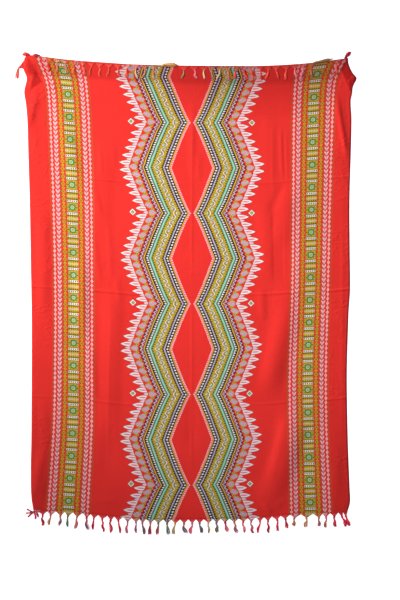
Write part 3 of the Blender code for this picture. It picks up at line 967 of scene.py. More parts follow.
@dataclass(frozen=True)
class SarongPrint:
    """The design, in millimetres: lozenges up the middle and a banded border down each side."""

    wobble_scale: float = 45.0
    wobble_reach: float = 2.4
    repeat: float = 316.0
    start: float = 118.0
    core_reach: float = 66.0
    core_power: float = 0.86
    link: float = 4.0
    tooth_pitch: float = 7.9
    stem_pitch: float = 15.8
    leaf_pitch: float = 26.33
    leaf_half: float = 13.17
    border_middle: float = 413.0
    border_line: Pair = (71.0, 73.0)
    lozenges_place: float = 63.5
    garland_place: float = 48.0
    chain_place: float = 28.8
    border_pitch: float = 79.0
    panel_half: float = 18.0
    bead_pitch: float = 7.4
    bar_place: float = 21.8
    teeth_place: float = 28.6
    dash_pitch: float = 7.18
    diamonds_place: float = 16.6
    diamonds_pitch: float = 9.29
    vine_place: float = 51.5
    vine_half: float = 18.5
    zigzag_place: float = 104.6
    zigzag_pitch: float = 12.15
    leaves_place: float = 132.0
    petals_place: float = 148.0
    star_place: float = 206.0
    bands: tuple[Band, ...] = (
        Band(0, 5.5, Ink.PINK), Band(5.5, 8.5, Ink.ORANGE), Band(8.5, 10, Ink.GOLD),
        Band(10, 33, Ink.AUBERGINE), Band(24.5, 29.5, Ink.LILAC), Band(33, 70, Ink.MUSTARD),
        Band(70, 82, Ink.PINE), Band(72, 80, Ink.MINT), Band(75.4, 76.6, Ink.PAPER),
        Band(82, 96, Ink.AUBERGINE), Band(96, 99.5, Ink.GOLD), Band(99.5, 101, Ink.OLIVE),
        Band(101, 117, Ink.MAROON),
    )

    def build(self) -> Tree:
        """Makes the print's node group, which reads the place on the print in metres."""
        group = Group("sarong_print", ["Place"], {"Color": "NodeSocketColor"})
        across, along, _rest = group.split("Place")
        noise = group.noise(group.source.outputs["Place"], self.wobble_scale)
        wobble = noise.line(self.wobble_reach, -self.wobble_reach / 2)
        across = across * (1 / MM) + wobble
        along = along.line(1 / MM, self.start) + wobble
        side = abs(across)
        canvas = Canvas(group, Ink.RED)
        self.paint_border(canvas, side, along)
        self.paint_column(canvas, side, along)
        group.give("Color", canvas.colour)
        return group.tree

    def paint_border(self, canvas: Canvas, side: Num, along: Num) -> None:
        """Paints the two side borders, which are alike on both sides of their middle."""
        aside = abs(side - self.border_middle)
        canvas.paint(Ink.OLIVE, aside.within(*self.border_line))
        self.paint_lozenges(canvas, aside - self.lozenges_place, along)
        self.paint_garland(canvas, aside - self.garland_place, along)
        self.paint_diamond_chain(canvas, abs(aside - self.chain_place), along)
        self.paint_panel(canvas, aside, along.from_nearest(self.border_pitch))

    def paint_lozenges(self, canvas: Canvas, offset: Num, along: Num) -> None:
        """Paints a row of long lozenges with a dot between each two."""
        beside = along.from_nearest(self.stem_pitch)
        lozenge = diamond(abs(offset), 5.2, beside, 7.0)
        canvas.nest(lozenge, 0.14, (Ink.PINK, 1.0), (Ink.RED, 0.3))
        dot = (self.stem_pitch / 2 - beside) + abs(offset)
        canvas.paint(Ink.GOLD, dot.below(2.0))

    def paint_garland(self, canvas: Canvas, offset: Num, along: Num) -> None:
        """Paints a stalk of paired leaves."""
        slant, taper = 1.35, 0.45
        away = abs(offset)
        leaf = (along + away * slant).from_nearest(self.stem_pitch) + away * taper
        canvas.paint(Ink.OLIVE, leaf.below(7.0) & away.below(7.4))
        canvas.paint(Ink.PINK, leaf.below(6.0) & away.within(0.5, 6.9))
        canvas.paint(Ink.RED, leaf.below(1.3) & away.within(1.5, 5.5))

    def paint_diamond_chain(self, canvas: Canvas, away: Num, along: Num) -> None:
        """Paints a chain of large and small diamonds."""
        step = along.from_nearest(self.leaf_pitch)
        rings = (Ink.AUBERGINE, 1.16), (Ink.MUSTARD, 1.0), (Ink.RED, 0.48, 0.66)
        canvas.nest(diamond(away, 8.2, step, 10.6), 0.1, *rings, (Ink.AUBERGINE, 0.22))
        small = diamond(away, 5.6, 13.16 - step, 4.6)
        canvas.nest(small, 0.15, (Ink.GOLD, 1.0), (Ink.AUBERGINE, 0.4))
        canvas.paint(Ink.OLIVE, away.within(9.2, 10.4))

    def paint_panel(self, canvas: Canvas, aside: Num, step: Num) -> None:
        """Paints the border's middle panel of stars and bars."""
        inside = aside.below(self.panel_half)
        canvas.paint(Ink.MUSTARD, inside)
        star = ((aside | step) / 8.4) & ((aside + step) / 11.6)
        rings = (Ink.AUBERGINE, 1.14), (Ink.EMERALD, 1.0), (Ink.PAPER, 0.44, 0.6), (Ink.GOLD, 0.24)
        canvas.nest(star, 0.08, *rings)
        corner = abs(aside - 13.0) + abs(step - 10.5)
        canvas.nest(corner, Num.SOFT, (Ink.AUBERGINE, 3.6), (Ink.PAPER, 1.9))
        canvas.paint(Ink.AUBERGINE, (abs(aside - 15.0) + step).below(2.4))
        self.paint_bar(canvas, aside.from_nearest(self.bead_pitch), step, inside)

    def paint_bar(self, canvas: Canvas, bead: Num, step: Num, inside: Num) -> None:
        """Paints a bar of beads across the panel, its teeth and the lozenges beyond them."""
        bar, teeth = self.bar_place, self.teeth_place
        canvas.paint(Ink.AUBERGINE, abs(step - bar).within(5.0, 6.2) & inside)
        canvas.paint(Ink.PAPER, step.within(bar - 3.4, bar + 3.4) & inside)
        canvas.paint(Ink.AUBERGINE, (abs(step - bar) + bead).below(2.7) & inside)
        tooth = diamond(bead, 3.4, step - teeth, 4.6)
        canvas.paint(Ink.AUBERGINE, tooth.below(1.0, 0.2) & step.above(teeth) & inside)
        lozenge = diamond(self.bead_pitch / 2 - bead, 2.9, self.border_pitch / 2 - step, 3.6)
        canvas.nest(lozenge, 0.2, (Ink.PAPER, 1.0), (Ink.AUBERGINE, 0.45), inside=inside)

    def paint_column(self, canvas: Canvas, side: Num, along: Num) -> None:
        """Paints the middle column, in bands outward from a chain of plain lozenges."""
        step = along.from_nearest(self.repeat)
        core = (step / (self.repeat / 2)) ** self.core_power * self.core_reach
        out = side - core - self.link
        for band in self.bands:
            canvas.paint(band.ink, out.within(band.low, band.high))
        self.paint_inner_rows(canvas, out, step)
        self.paint_vine(canvas, out, step)
        self.paint_outer_rows(canvas, out, step)
        self.paint_leaves(canvas, out, step.from_nearest(self.leaf_pitch))
        self.paint_petals(canvas, out, step.from_nearest(self.leaf_pitch))
        self.paint_notch_star(canvas, side, step)

    def paint_inner_rows(self, canvas: Canvas, out: Num, step: Num) -> None:
        """Paints dashes and a row of small diamonds beside the core."""
        gap = step.from_nearest(self.dash_pitch)
        canvas.paint(Ink.RED, gap.above(2.5) & out.within(0.0, 5.5))
        beside = step.from_nearest(self.diamonds_pitch)
        small = diamond(abs(out - self.diamonds_place), 4.6, beside, 3.3)
        canvas.paint(Ink.PAPER, small.below(1.0, 0.16))
        canvas.paint(Ink.AUBERGINE, gap.above(2.9) & out.within(24.5, 29.5))

    def paint_vine(self, canvas: Canvas, out: Num, step: Num) -> None:
        """Paints a waving stem with a flower in each bend, between two rows of teeth."""
        middle = self.vine_place
        edge = self.vine_half - abs(out - middle)
        tooth = edge * 0.62 + step.from_nearest(self.tooth_pitch)
        canvas.paint(Ink.AUBERGINE, tooth.below(3.3) & edge.above(0.0))
        wave = (step * (math.tau / (2 * self.stem_pitch))).wave()
        stem = abs(out - wave * 7.0 - middle)
        canvas.nest(stem, Num.SOFT, (Ink.AUBERGINE, 3.0), (Ink.PAPER, 1.8))
        beside = step.from_nearest(self.stem_pitch)
        over = out + wave * 5.6 - middle
        flower = beside * beside + over * over
        canvas.nest(flower, 6.0, (Ink.AUBERGINE, 32.0))
        canvas.nest(flower, 5.0, (Ink.PAPER, 17.0))
        canvas.nest(flower, 3.0, (Ink.MINT, 6.0))

    def paint_outer_rows(self, canvas: Canvas, out: Num, step: Num) -> None:
        """Paints a saw-tooth row, and a zigzag line on the dark red beyond it."""
        tooth = out + step.from_nearest(self.tooth_pitch) * 2.4
        canvas.paint(Ink.PAPER, tooth.below(92.5) & out.above(84.0))
        bend = step.from_nearest(self.zigzag_pitch)
        zigzag = abs(out - bend * 1.35 - self.zigzag_place)
        canvas.paint(Ink.LILAC, zigzag.below(2.3))
        bud = (6.08 - bend) + abs(out - 104.0)
        canvas.paint(Ink.ROSE, bud.below(2.4))

    def paint_leaves(self, canvas: Canvas, out: Num, beside: Num) -> None:
        """Paints a row of upright leaves, with a bead between each two."""
        over = (out - self.leaves_place) / 14.5
        leaf = over * over + beside / 11.0
        rings = (Ink.GOLD, 1.0), (Ink.AUBERGINE, 0.88), (Ink.LILAC, 0.78), (Ink.MAROON, 0.4, 0.5)
        canvas.nest(leaf, 0.09, *rings)
        canvas.paint(Ink.ROSE, leaf.below(0.2, 0.08))
        bead = (self.leaf_half - beside) + abs(out - 124.5)
        canvas.nest(bead, Num.SOFT, (Ink.GOLD, 5.4), (Ink.EMERALD, 3.6))

    def paint_petals(self, canvas: Canvas, out: Num, beside: Num) -> None:
        """Paints the column's outer rim of long petals with a slit and a bud between each two."""
        rise = out - self.petals_place
        under, upon = rise.above(-1.0), rise.above(0.0)
        off = self.leaf_half - beside
        over = (rise - 11.0) / 25.0
        petal = over * over + off / 7.6
        canvas.nest(petal, 0.08, (Ink.MAROON, 1.16), inside=under)
        canvas.nest(petal, 0.08, (Ink.PAPER, 1.0), inside=upon)
        slit = over * over * 2.4 + off / 2.6
        canvas.nest(slit, 0.2, (Ink.ROSE, 1.0), inside=rise.above(1.5))
        swell = rise / 17.0
        bud = swell * swell + beside / 5.4
        canvas.nest(bud, 0.08, (Ink.MAROON, 1.2), inside=under)
        canvas.nest(bud, 0.08, (Ink.PINK, 1.0), inside=upon)

    def paint_notch_star(self, canvas: Canvas, side: Num, step: Num) -> None:
        """Paints a small star in each notch of the rim."""
        star = abs(side - self.star_place) + step
        rings = (Ink.MAROON, 12.5), (Ink.PAPER, 11.2), (Ink.EMERALD, 6.6), (Ink.GOLD, 3.0)
        canvas.nest(star, Num.SOFT, *rings)


class PaintedPatch(NamedTuple):
    """A patch of painted shade over a turned corner, or of painted highlight where its shade is
    above 1: its clockwise outline and how it darkens or lightens.
    """

    soft: float
    shade: float
    outline: tuple[Pair, ...]


@dataclass(frozen=True)
class PaintedClothShade:
    """Painted shade and highlights on the lying cloth, over its uneven dye: along its top end,
    towards its top end, in its margins towards the bottom and over the turned corners.
    """

    mottle_scale: float = 7.0
    mottle_detail: float = 4.0
    mottle_depth: float = 0.16
    mottle_reach: float = 24.0
    # Painted shade in a band along the top end, not in the margins, which start at the band's
    # reach; in millimetres
    band_start: float = -12.0
    band_end: float = 61.0
    band_soft: float = 15.0
    band_reach: float = 488.0
    band_shade: float = 0.8
    # Painted shade towards the top end, growing from the middle across to the right
    dusk_start: float = -250.0
    dusk_run: float = 300.0
    dusk_depth: float = 195.0
    dusk_fade: float = 130.0
    dusk_shade: float = 0.76
    # Painted shade in the margins, darker towards the bottom end
    low_start: float = 1150.0
    low_run: float = 400.0
    low_shade: float = 0.86
    # How much more deeply green and blue take the dye's unevenness and the painted shade, then the
    # patches' painted shade and highlights
    depth: float = 1.5
    patch_shade_depth: float = 2.3
    # Painted shade over the turned corners, and painted highlights in the last three, whose shade
    # is above 1
    painted_patches: tuple[PaintedPatch, ...] = (
        PaintedPatch(13.0, 0.6, (
            (-570, 802), (-547, 778), (-535, 752), (-553, 744), (-567, 752), (-573, 778),
        )),
        PaintedPatch(8.0, 0.62, ((-543, 762), (-534, 748), (-523, 724), (-560, 698), (-553, 744))),
        PaintedPatch(5.0, 0.58, (
            (519, 768), (527, 786), (543, 803), (590, 745), (564, 676), (550, 694),
        )),
        PaintedPatch(6.0, 1.12, ((-557, 757), (-548, 753), (-562, 702), (-570, 704))),
        PaintedPatch(4.0, 1.4, ((557, 750), (563, 744), (546, 723), (540, 728))),
        PaintedPatch(4.0, 1.3, ((540, 728), (547, 728), (552, 703), (546, 702))),
    )

    def build(self, placement: Placement) -> Tree:
        """Makes the node group of the cloth's light and dark.

        Args:
            placement: The way into the frame.

        Returns:
            The group.
        """
        group = Group("painted_cloth_shade", ["Place", "Point"], {"Shade": "NodeSocketColor"})
        mottle = group.noise(group.source.outputs["Place"], self.mottle_scale, self.mottle_detail)
        shade = mottle.line(self.mottle_depth, 1 - self.mottle_depth / 2)
        across, along, _rest = group.split("Place")
        across, along = across * (1 / MM), along * (1 / MM)
        inner = abs(across).below(self.band_reach, self.band_soft)
        # Painted shade in a band along the top end, whose lower edge wanders
        edge = mottle.line(self.mottle_reach, -self.mottle_reach / 2) + along
        band = edge.within(self.band_start, self.band_end, self.band_soft) & inner
        # Painted shade towards the top end, from the middle across to the right, not in the margins
        dusk = across.ramp(self.dusk_start, self.dusk_run)
        dusk = dusk * along.ramp(self.dusk_depth, -self.dusk_fade) * inner
        # Painted shade in the margins towards the bottom end
        low = along.ramp(self.low_start, self.low_run) * (1.0 - inner)
        shade = shade * band.as_shade(self.band_shade) * dusk.as_shade(self.dusk_shade)
        shade = shade * low.as_shade(self.low_shade)
        # Green and blue take the painted shade more deeply, so that it deepens the red
        deep = shade**self.depth
        x, y, _z = group.split("Point")
        # Painted shade over the turned corners, and painted highlights where a patch's shade is
        # above 1
        for painted_patch in self.painted_patches:
            inside = self.inside(painted_patch.outline, x, y, placement).above(0.0, painted_patch.soft)
            layer = inside.as_shade(painted_patch.shade)
            shade = shade * layer
            deep = deep * layer**self.patch_shade_depth
        tint = group.add("ShaderNodeCombineColor", {0: shade, 1: deep, 2: deep})
        group.give("Shade", tint.outputs[0])
        return group.tree

    def inside(self, corner: Sequence[Pair], x: Num, y: Num, placement: Placement) -> Num:
        """How far a point is inside a corner's outline, in millimetres.

        Args:
            corner: The outline, clockwise from above.
            x: The point across, in the frame's metres.
            y: The point along, in the frame's metres.
            placement: The way into the frame.

        Returns:
            The distance to the nearest side.
        """
        nearest = None
        for k, start in enumerate(corner):
            end = corner[(k + 1) % len(corner)]
            length = math.dist(start, end)
            normal_x = (end[1] - start[1]) / length
            normal_y = (start[0] - end[0]) / length
            origin_x = start[0] + placement.shift_x / MM
            origin_y = start[1] + placement.shift_y / MM
            rest = -(origin_x * normal_x + origin_y * normal_y)
            side = x.line(normal_x / MM, rest) + y * (normal_y / MM)
            nearest = side if nearest is None else nearest & side
        return nearest


@dataclass(frozen=True)
class PlainWeave:
    """The weave's relief and the uneven threads that show in it."""

    thread: float = 1500.0
    slub: float = 22.0
    thread_height: float = 0.3
    streak: float = 0.16
    crimp_scale: float = 95.0
    crimp_detail: float = 3.0
    wrinkle: tuple[float, float, float] = (24.0, 50.0, 1.0)
    wrinkle_height: float = 4.6
    wrinkle_narrow: float = 10.0
    patch_scale: float = 9.0
    patch_contrast: float = 7.0
    margin: float = 0.487
    margin_soft: float = 0.01
    ground_share: float = 0.25

    def build(self) -> Tree:
        """Makes the node group of the weave and of the fine wrinkles, most in the margins."""
        outputs = {"Height": "NodeSocketFloat", "Streak": "NodeSocketFloat"}
        group = Group("plain_weave", ["Place"], outputs)
        place = group.source.outputs["Place"]
        warp = group.noise(group.stretched("Place", (self.thread, self.slub, 1.0)), 1.0)
        weft = group.noise(group.stretched("Place", (self.slub, self.thread, 1.0)), 1.0)
        crimp = group.noise(place, self.crimp_scale, self.crimp_detail)
        threads = warp + weft
        group.give("Streak", threads.line(self.streak, 1 - self.streak))
        across, _along, _rest = group.split("Place")
        margin = abs(across).above(self.margin, self.margin_soft)
        margin = margin.line(1 - self.ground_share, self.ground_share)
        bend = group.noise(group.stretched("Place", self.wrinkle), 1.0, 1.0)
        contrast = self.patch_contrast
        patch = group.noise(place, self.patch_scale).line(contrast, 0.5 - contrast / 2, clamp=True)
        ridge = abs(bend - 0.5).line(-self.wrinkle_narrow, 1.0, clamp=True) ** 2
        wrinkles = ridge * patch * margin * self.wrinkle_height
        group.give("Height", threads * self.thread_height + crimp + wrinkles)
        return group.tree


class Dress(Nodes):
    """A material's tree while it is made."""

    def __init__(self, name: str) -> None:
        """Makes the material, which has its shader from the start."""
        self.material = bpy.data.materials.new(name)
        self.material.use_nodes = True
        super().__init__(self.material.node_tree)

    def marks(self, output: str) -> Socket:
        """The piece's point values, as a colour or as one number."""
        return self.add("ShaderNodeAttribute", attribute_name="marks").outputs[output]

    def point(self) -> Socket:
        """The place on the piece, in the frame's metres."""
        return self.add("ShaderNodeTexCoord").outputs["Object"]

    def relief(self, height: object, strength: float, distance: float) -> Socket:
        """The normal of a raised surface."""
        feeds = {"Height": height, "Strength": strength, "Distance": distance}
        return self.add("ShaderNodeBump", feeds).outputs["Normal"]

    def surface(self, feeds: dict[str, object]) -> Material:
        """Gives the shader's inputs what they take, and hands over the material."""
        shader = self.tree.nodes["Principled BSDF"]
        for place, value in feeds.items():
            self.feed(shader.inputs[place], value)
        return self.material


@dataclass(frozen=True)
class ClothFinish:
    """The finish of the printed cloth, on its face or its reverse."""

    print_group: Tree
    shade_group: Tree
    weave_group: Tree
    fray: tuple[float, ...] = (0.86, 0.3, 0.32, 1.0)
    back: tuple[float, ...] = (0.86, 0.1, 0.06, 1.0)
    back_share: float = 0.5
    strength: float = 0.35
    distance: float = 0.0008

    def material(self, name: str, reverse: bool) -> Material:
        """Makes the material.

        Args:
            name: Its name.
            reverse: Whether it is the cloth's back, where the print is weaker.

        Returns:
            The material.
        """
        dress = Dress(name)
        place = dress.add("ShaderNodeUVMap", uv_map="print").outputs["UV"]
        groups = self.print_group, self.shade_group, self.weave_group
        design, shade, weave = (
            dress.add("ShaderNodeGroup", {"Place": place}, node_tree=group) for group in groups
        )
        dress.feed(shade.inputs["Point"], dress.point())
        colour = dress.blend("MIX", design.outputs["Color"], self.fray, dress.marks("Fac"))
        if reverse:
            colour = dress.blend("MIX", colour, self.back, self.back_share)
        # Multiplies in the painted shade and highlights with the dye's unevenness, then the weave's
        # uneven threads
        for value in (shade.outputs["Shade"], weave.outputs["Streak"]):
            colour = dress.blend("MULTIPLY", colour, value, 1.0)
        return dress.surface({
            "Base Color": colour,
            "Normal": dress.relief(weave.outputs["Height"], self.strength, self.distance),
            "Roughness": 0.78,
            "Specular IOR Level": 0.2,
            "Sheen Weight": 0.04,
            "Sheen Roughness": 0.5,
        })


@dataclass(frozen=True)
class YarnFinish:
    """The finish of the fringe's yarn, whose colour is in its points."""

    fibre: float = 900.0
    fibre_detail: float = 3.0
    darkest: float = 0.75
    lightest: float = 1.3
    strength: float = 0.4
    distance: float = 0.0004

    def material(self) -> Material:
        """Makes the material."""
        dress = Dress("fringe_yarn")
        noise = dress.noise(dress.point(), self.fibre, self.fibre_detail)
        shade = dress.add("ShaderNodeMapRange", {
            "Value": noise,
            "From Min": 0.3,
            "From Max": 0.7,
            "To Min": self.darkest,
            "To Max": self.lightest,
        })
        tone = dress.blend("MULTIPLY", dress.marks("Color"), shade.outputs["Result"], 1.0)
        return dress.surface({
            "Base Color": tone,
            "Normal": dress.relief(noise, self.strength, self.distance),
            "Roughness": 0.85,
            "Specular IOR Level": 0.2,
            "Sheen Weight": 0.12,
        })


class Lay(Enum):
    """Where a web of warp threads lies: its print's first place and which way that runs on."""

    BELOW = (CUT_LENGTH / MM, 1)
    FACE = (-13.0, -1)
    BEYOND = (-1.0, -1)


class Web(NamedTuple):
    """Where the warp threads of one tassel leave the cloth and where they meet."""

    lay: Lay
    base: Array
    across: Array
    neck: Array
    side: Array
    depth: float
    hold: float


@dataclass
class Cloth:
    """The printed cloth: one sheet with a rolled top end and a lobe of threads at each tassel."""

    plan: ClothPlan
    placement: Placement
    columns: int = 176
    rows: int = 216
    fold_places: tuple[float, ...] = (-535, -295, 0, 285, 325, 525)
    fold_density: Pair = (14.0, 2.2)
    press_density: Pair = (12.0, 4.5)
    end_density: Pair = (30.0, 2.0)
    roll_step: float = 2.2
    roll_ease: float = 0.02
    roll_swell: Pair = (0.8, 0.25)
    roll_waves: Pair = (37.0, 83.0)
    roll_least: float = 0.3
    roll: tuple[Pair, ...] = (
        (-4.2, 0.9), (-2.8, 1.3), (-1.2, 1.5), (0.3, 1.4), (1.2, 0.9), (1.1, 0.4),
    )
    lobe_rows: int = 8
    neck_half: float = 3.0
    lobe_crowding: float = 1.3
    lobe_power: float = 0.8
    pleats: int = 3
    pleat_height: float = 0.3
    floor_lift: Pair = (0.5, 0.6)
    face_lift: Pair = (0.7, -0.2)
    face_pleat: float = 0.5
    fray_start: float = 0.1
    fray_run: float = 0.8
    fray_share: Pair = (0.4, 0.25)
    fray_wave: float = 11.0
    top_fray: float = 0.25

    def build(self, webs: Sequence[Web]) -> Piece:
        """Makes the sheet.

        Args:
            webs: The tassels' webs, which are a part of it.

        Returns:
            The sheet, without its wall.
        """
        draft = Draft()
        self.add_sheet(draft)
        for web in webs:
            self.add_lobe(draft, web)
        return draft.build("cloth", self.placement)

    def add_sheet(self, draft: Draft) -> None:
        """Adds the main sheet, with the narrow roll at its top end."""
        width, length = CUT_WIDTH / MM, CUT_LENGTH / MM
        dense_columns = [(width / 2 + x, *self.fold_density) for x in self.fold_places]
        dense_rows = [(press.along, *self.press_density) for press in PRESSES]
        dense_rows += [(end, *self.end_density) for end in (0.0, length)]
        across = stations(self.columns, width, dense_columns)[None, :]
        along = stations(self.rows, length, dense_rows)[:, None]
        x, y = self.plan.at(across, along)
        down = along * length + np.zeros_like(x)
        z = self.plan.height(x, y, down)
        u = self.plan.print_across(x, y)
        rolled = self.rolled_end(x[0], y[0], z[0], across[0])
        turns = np.arange(len(self.roll), 0, -1)[:, None]
        before = -turns * self.roll_step + np.zeros_like(rolled[..., 0])
        points = np.concatenate([rolled, np.stack([x, y, z], axis=-1)])
        print_x = np.concatenate([np.broadcast_to(u[0], before.shape), u])
        print_y = np.concatenate([before, down])
        places = np.stack([print_x, print_y], axis=-1) * MM
        draft.add_grid(points, places, np.zeros_like(points))

    def rolled_end(self, x: Array, y: Array, z: Array, across: Array) -> Array:
        """The rows of the roll at the top end, which is uneven and dies away at both corners.

        Args:
            x: The edge's places across.
            y: Its places along.
            z: Its heights.
            across: Its shares across the cloth.

        Returns:
            Rows by columns by three.
        """
        slope = np.gradient(y, x)
        out_x = -slope / np.hypot(slope, 1)
        out_y = 1 / np.hypot(slope, 1)
        mean, change = self.roll_swell
        short, long = self.roll_waves
        swell = mean + change * np.sin(x / short) * np.sin(x / long + 1)
        swell = swell * ease(across / self.roll_ease) * ease((1 - across) / self.roll_ease)
        rows = []
        for out, up in self.roll:
            reach = out * (self.roll_least + (1 - self.roll_least) * swell)
            rows.append(np.stack([x + out_x * reach, y + out_y * reach, z + up * swell], axis=-1))
        return np.stack(rows)

    def add_lobe(self, draft: Draft, web: Web) -> None:
        """Adds the scallop of cloth threads that narrows to one tassel's neck.

        Args:
            draft: The sheet so far.
            web: Where its threads run. On the face they have the cloth's reverse up.
        """
        share = np.linspace(0, 1, self.lobe_rows + 1)[:, None] ** self.lobe_crowding
        narrow = np.clip((share - web.hold) / (1 - web.hold), 0, 1) ** self.lobe_power
        spread = np.linspace(-1, 1, len(web.base))[None, :]
        middle = web.base[len(web.base) // 2]
        way = middle + (web.neck - middle) * share[..., None]
        lateral = (web.base - middle)[None] * (1 - narrow)[..., None]
        gathered = spread[..., None] * self.neck_half * web.side * narrow[..., None]
        plan = way + lateral + gathered
        pleat = self.pleat_height * share * np.cos(spread * math.pi * self.pleats)
        start, sign = web.lay.value
        if web.lay is Lay.FACE:
            down = -plan[..., 1] + self.plan.top.at(plan[..., 0])
            lift, gain = self.face_lift
            z = self.plan.height(plan[..., 0], plan[..., 1], down)
            z = z + lift + gain * share + pleat * self.face_pleat
        else:
            lift, gain = self.floor_lift
            z = REST_HEIGHT + SHELL + lift + gain * share + pleat
        points = np.concatenate([plan, z[..., None]], axis=-1)
        print_x = web.across[None] + np.zeros_like(share)
        print_y = start + sign * web.depth * share + np.zeros_like(spread)
        places = np.stack([print_x, print_y], axis=-1) * MM
        mean, change = self.fray_share
        fray = ease((share - self.fray_start) / self.fray_run)
        fray = fray * (mean + change * np.cos(spread * self.fray_wave))
        fray = fray * (1.0 if web.lay is Lay.BELOW else self.top_fray)
        marks = np.repeat(fray[..., None], 3, axis=-1)
        if web.lay is not Lay.BELOW:
            points, places, marks = points[::-1], places[::-1], marks[::-1]
        draft.add_grid(points, places, marks)


@dataclass
class TurnedCorner:
    """A top corner's margin, turned under: its outline, and which of its points are on the fold."""

    name: str
    outline: tuple[EdgePoint, ...]
    folded: tuple[int, ...]
    rings: int = 6
    steps: int = 6
    innermost: float = 0.04
    ripple: float = 0.08
    ripple_pitch: Pair = (6.0, 9.0)
    fold_rise: float = 0.5
    fold_power: int = 12

    def build(self, plan: ClothPlan, placement: Placement) -> Piece:
        """Makes the layer.

        Args:
            plan: Where the cloth lies.
            placement: The way into the frame.

        Returns:
            The layer, without its wall.
        """
        outline = [(*point, k in self.folded) for k, point in enumerate(self.outline)]
        corners = np.array(outline, float)[:, None]
        share = np.arange(self.steps)[:, None] / self.steps
        around = mix(corners, np.roll(corners, -1, axis=0), share).reshape(-1, 3)[::-1]
        around, rise = around[:, :2], around[:, 2]
        middle = corners[:, 0, :2].mean(axis=0)
        share = np.linspace(self.innermost, 1, self.rings)[:, None, None]
        flat = middle + (around - middle) * share
        across, along = flat[..., 0] / self.ripple_pitch[0], flat[..., 1] / self.ripple_pitch[1]
        ripple = self.ripple * np.sin(across) * np.cos(along)
        folded = self.fold_rise * rise * share[..., 0] ** self.fold_power
        z = REST_HEIGHT + SHELL + ripple + folded
        draft = Draft()
        points = np.concatenate([flat, z[..., None]], axis=-1)
        closed = np.concatenate([points, points[:, :1]], axis=1)
        down = plan.top.at(closed[..., 0]) - closed[..., 1]
        across = plan.print_across(closed[..., 0], closed[..., 1])
        places = np.stack([across, down], axis=-1) * MM
        draft.add_grid(closed, places, np.zeros_like(closed))
        return draft.build(self.name, placement)


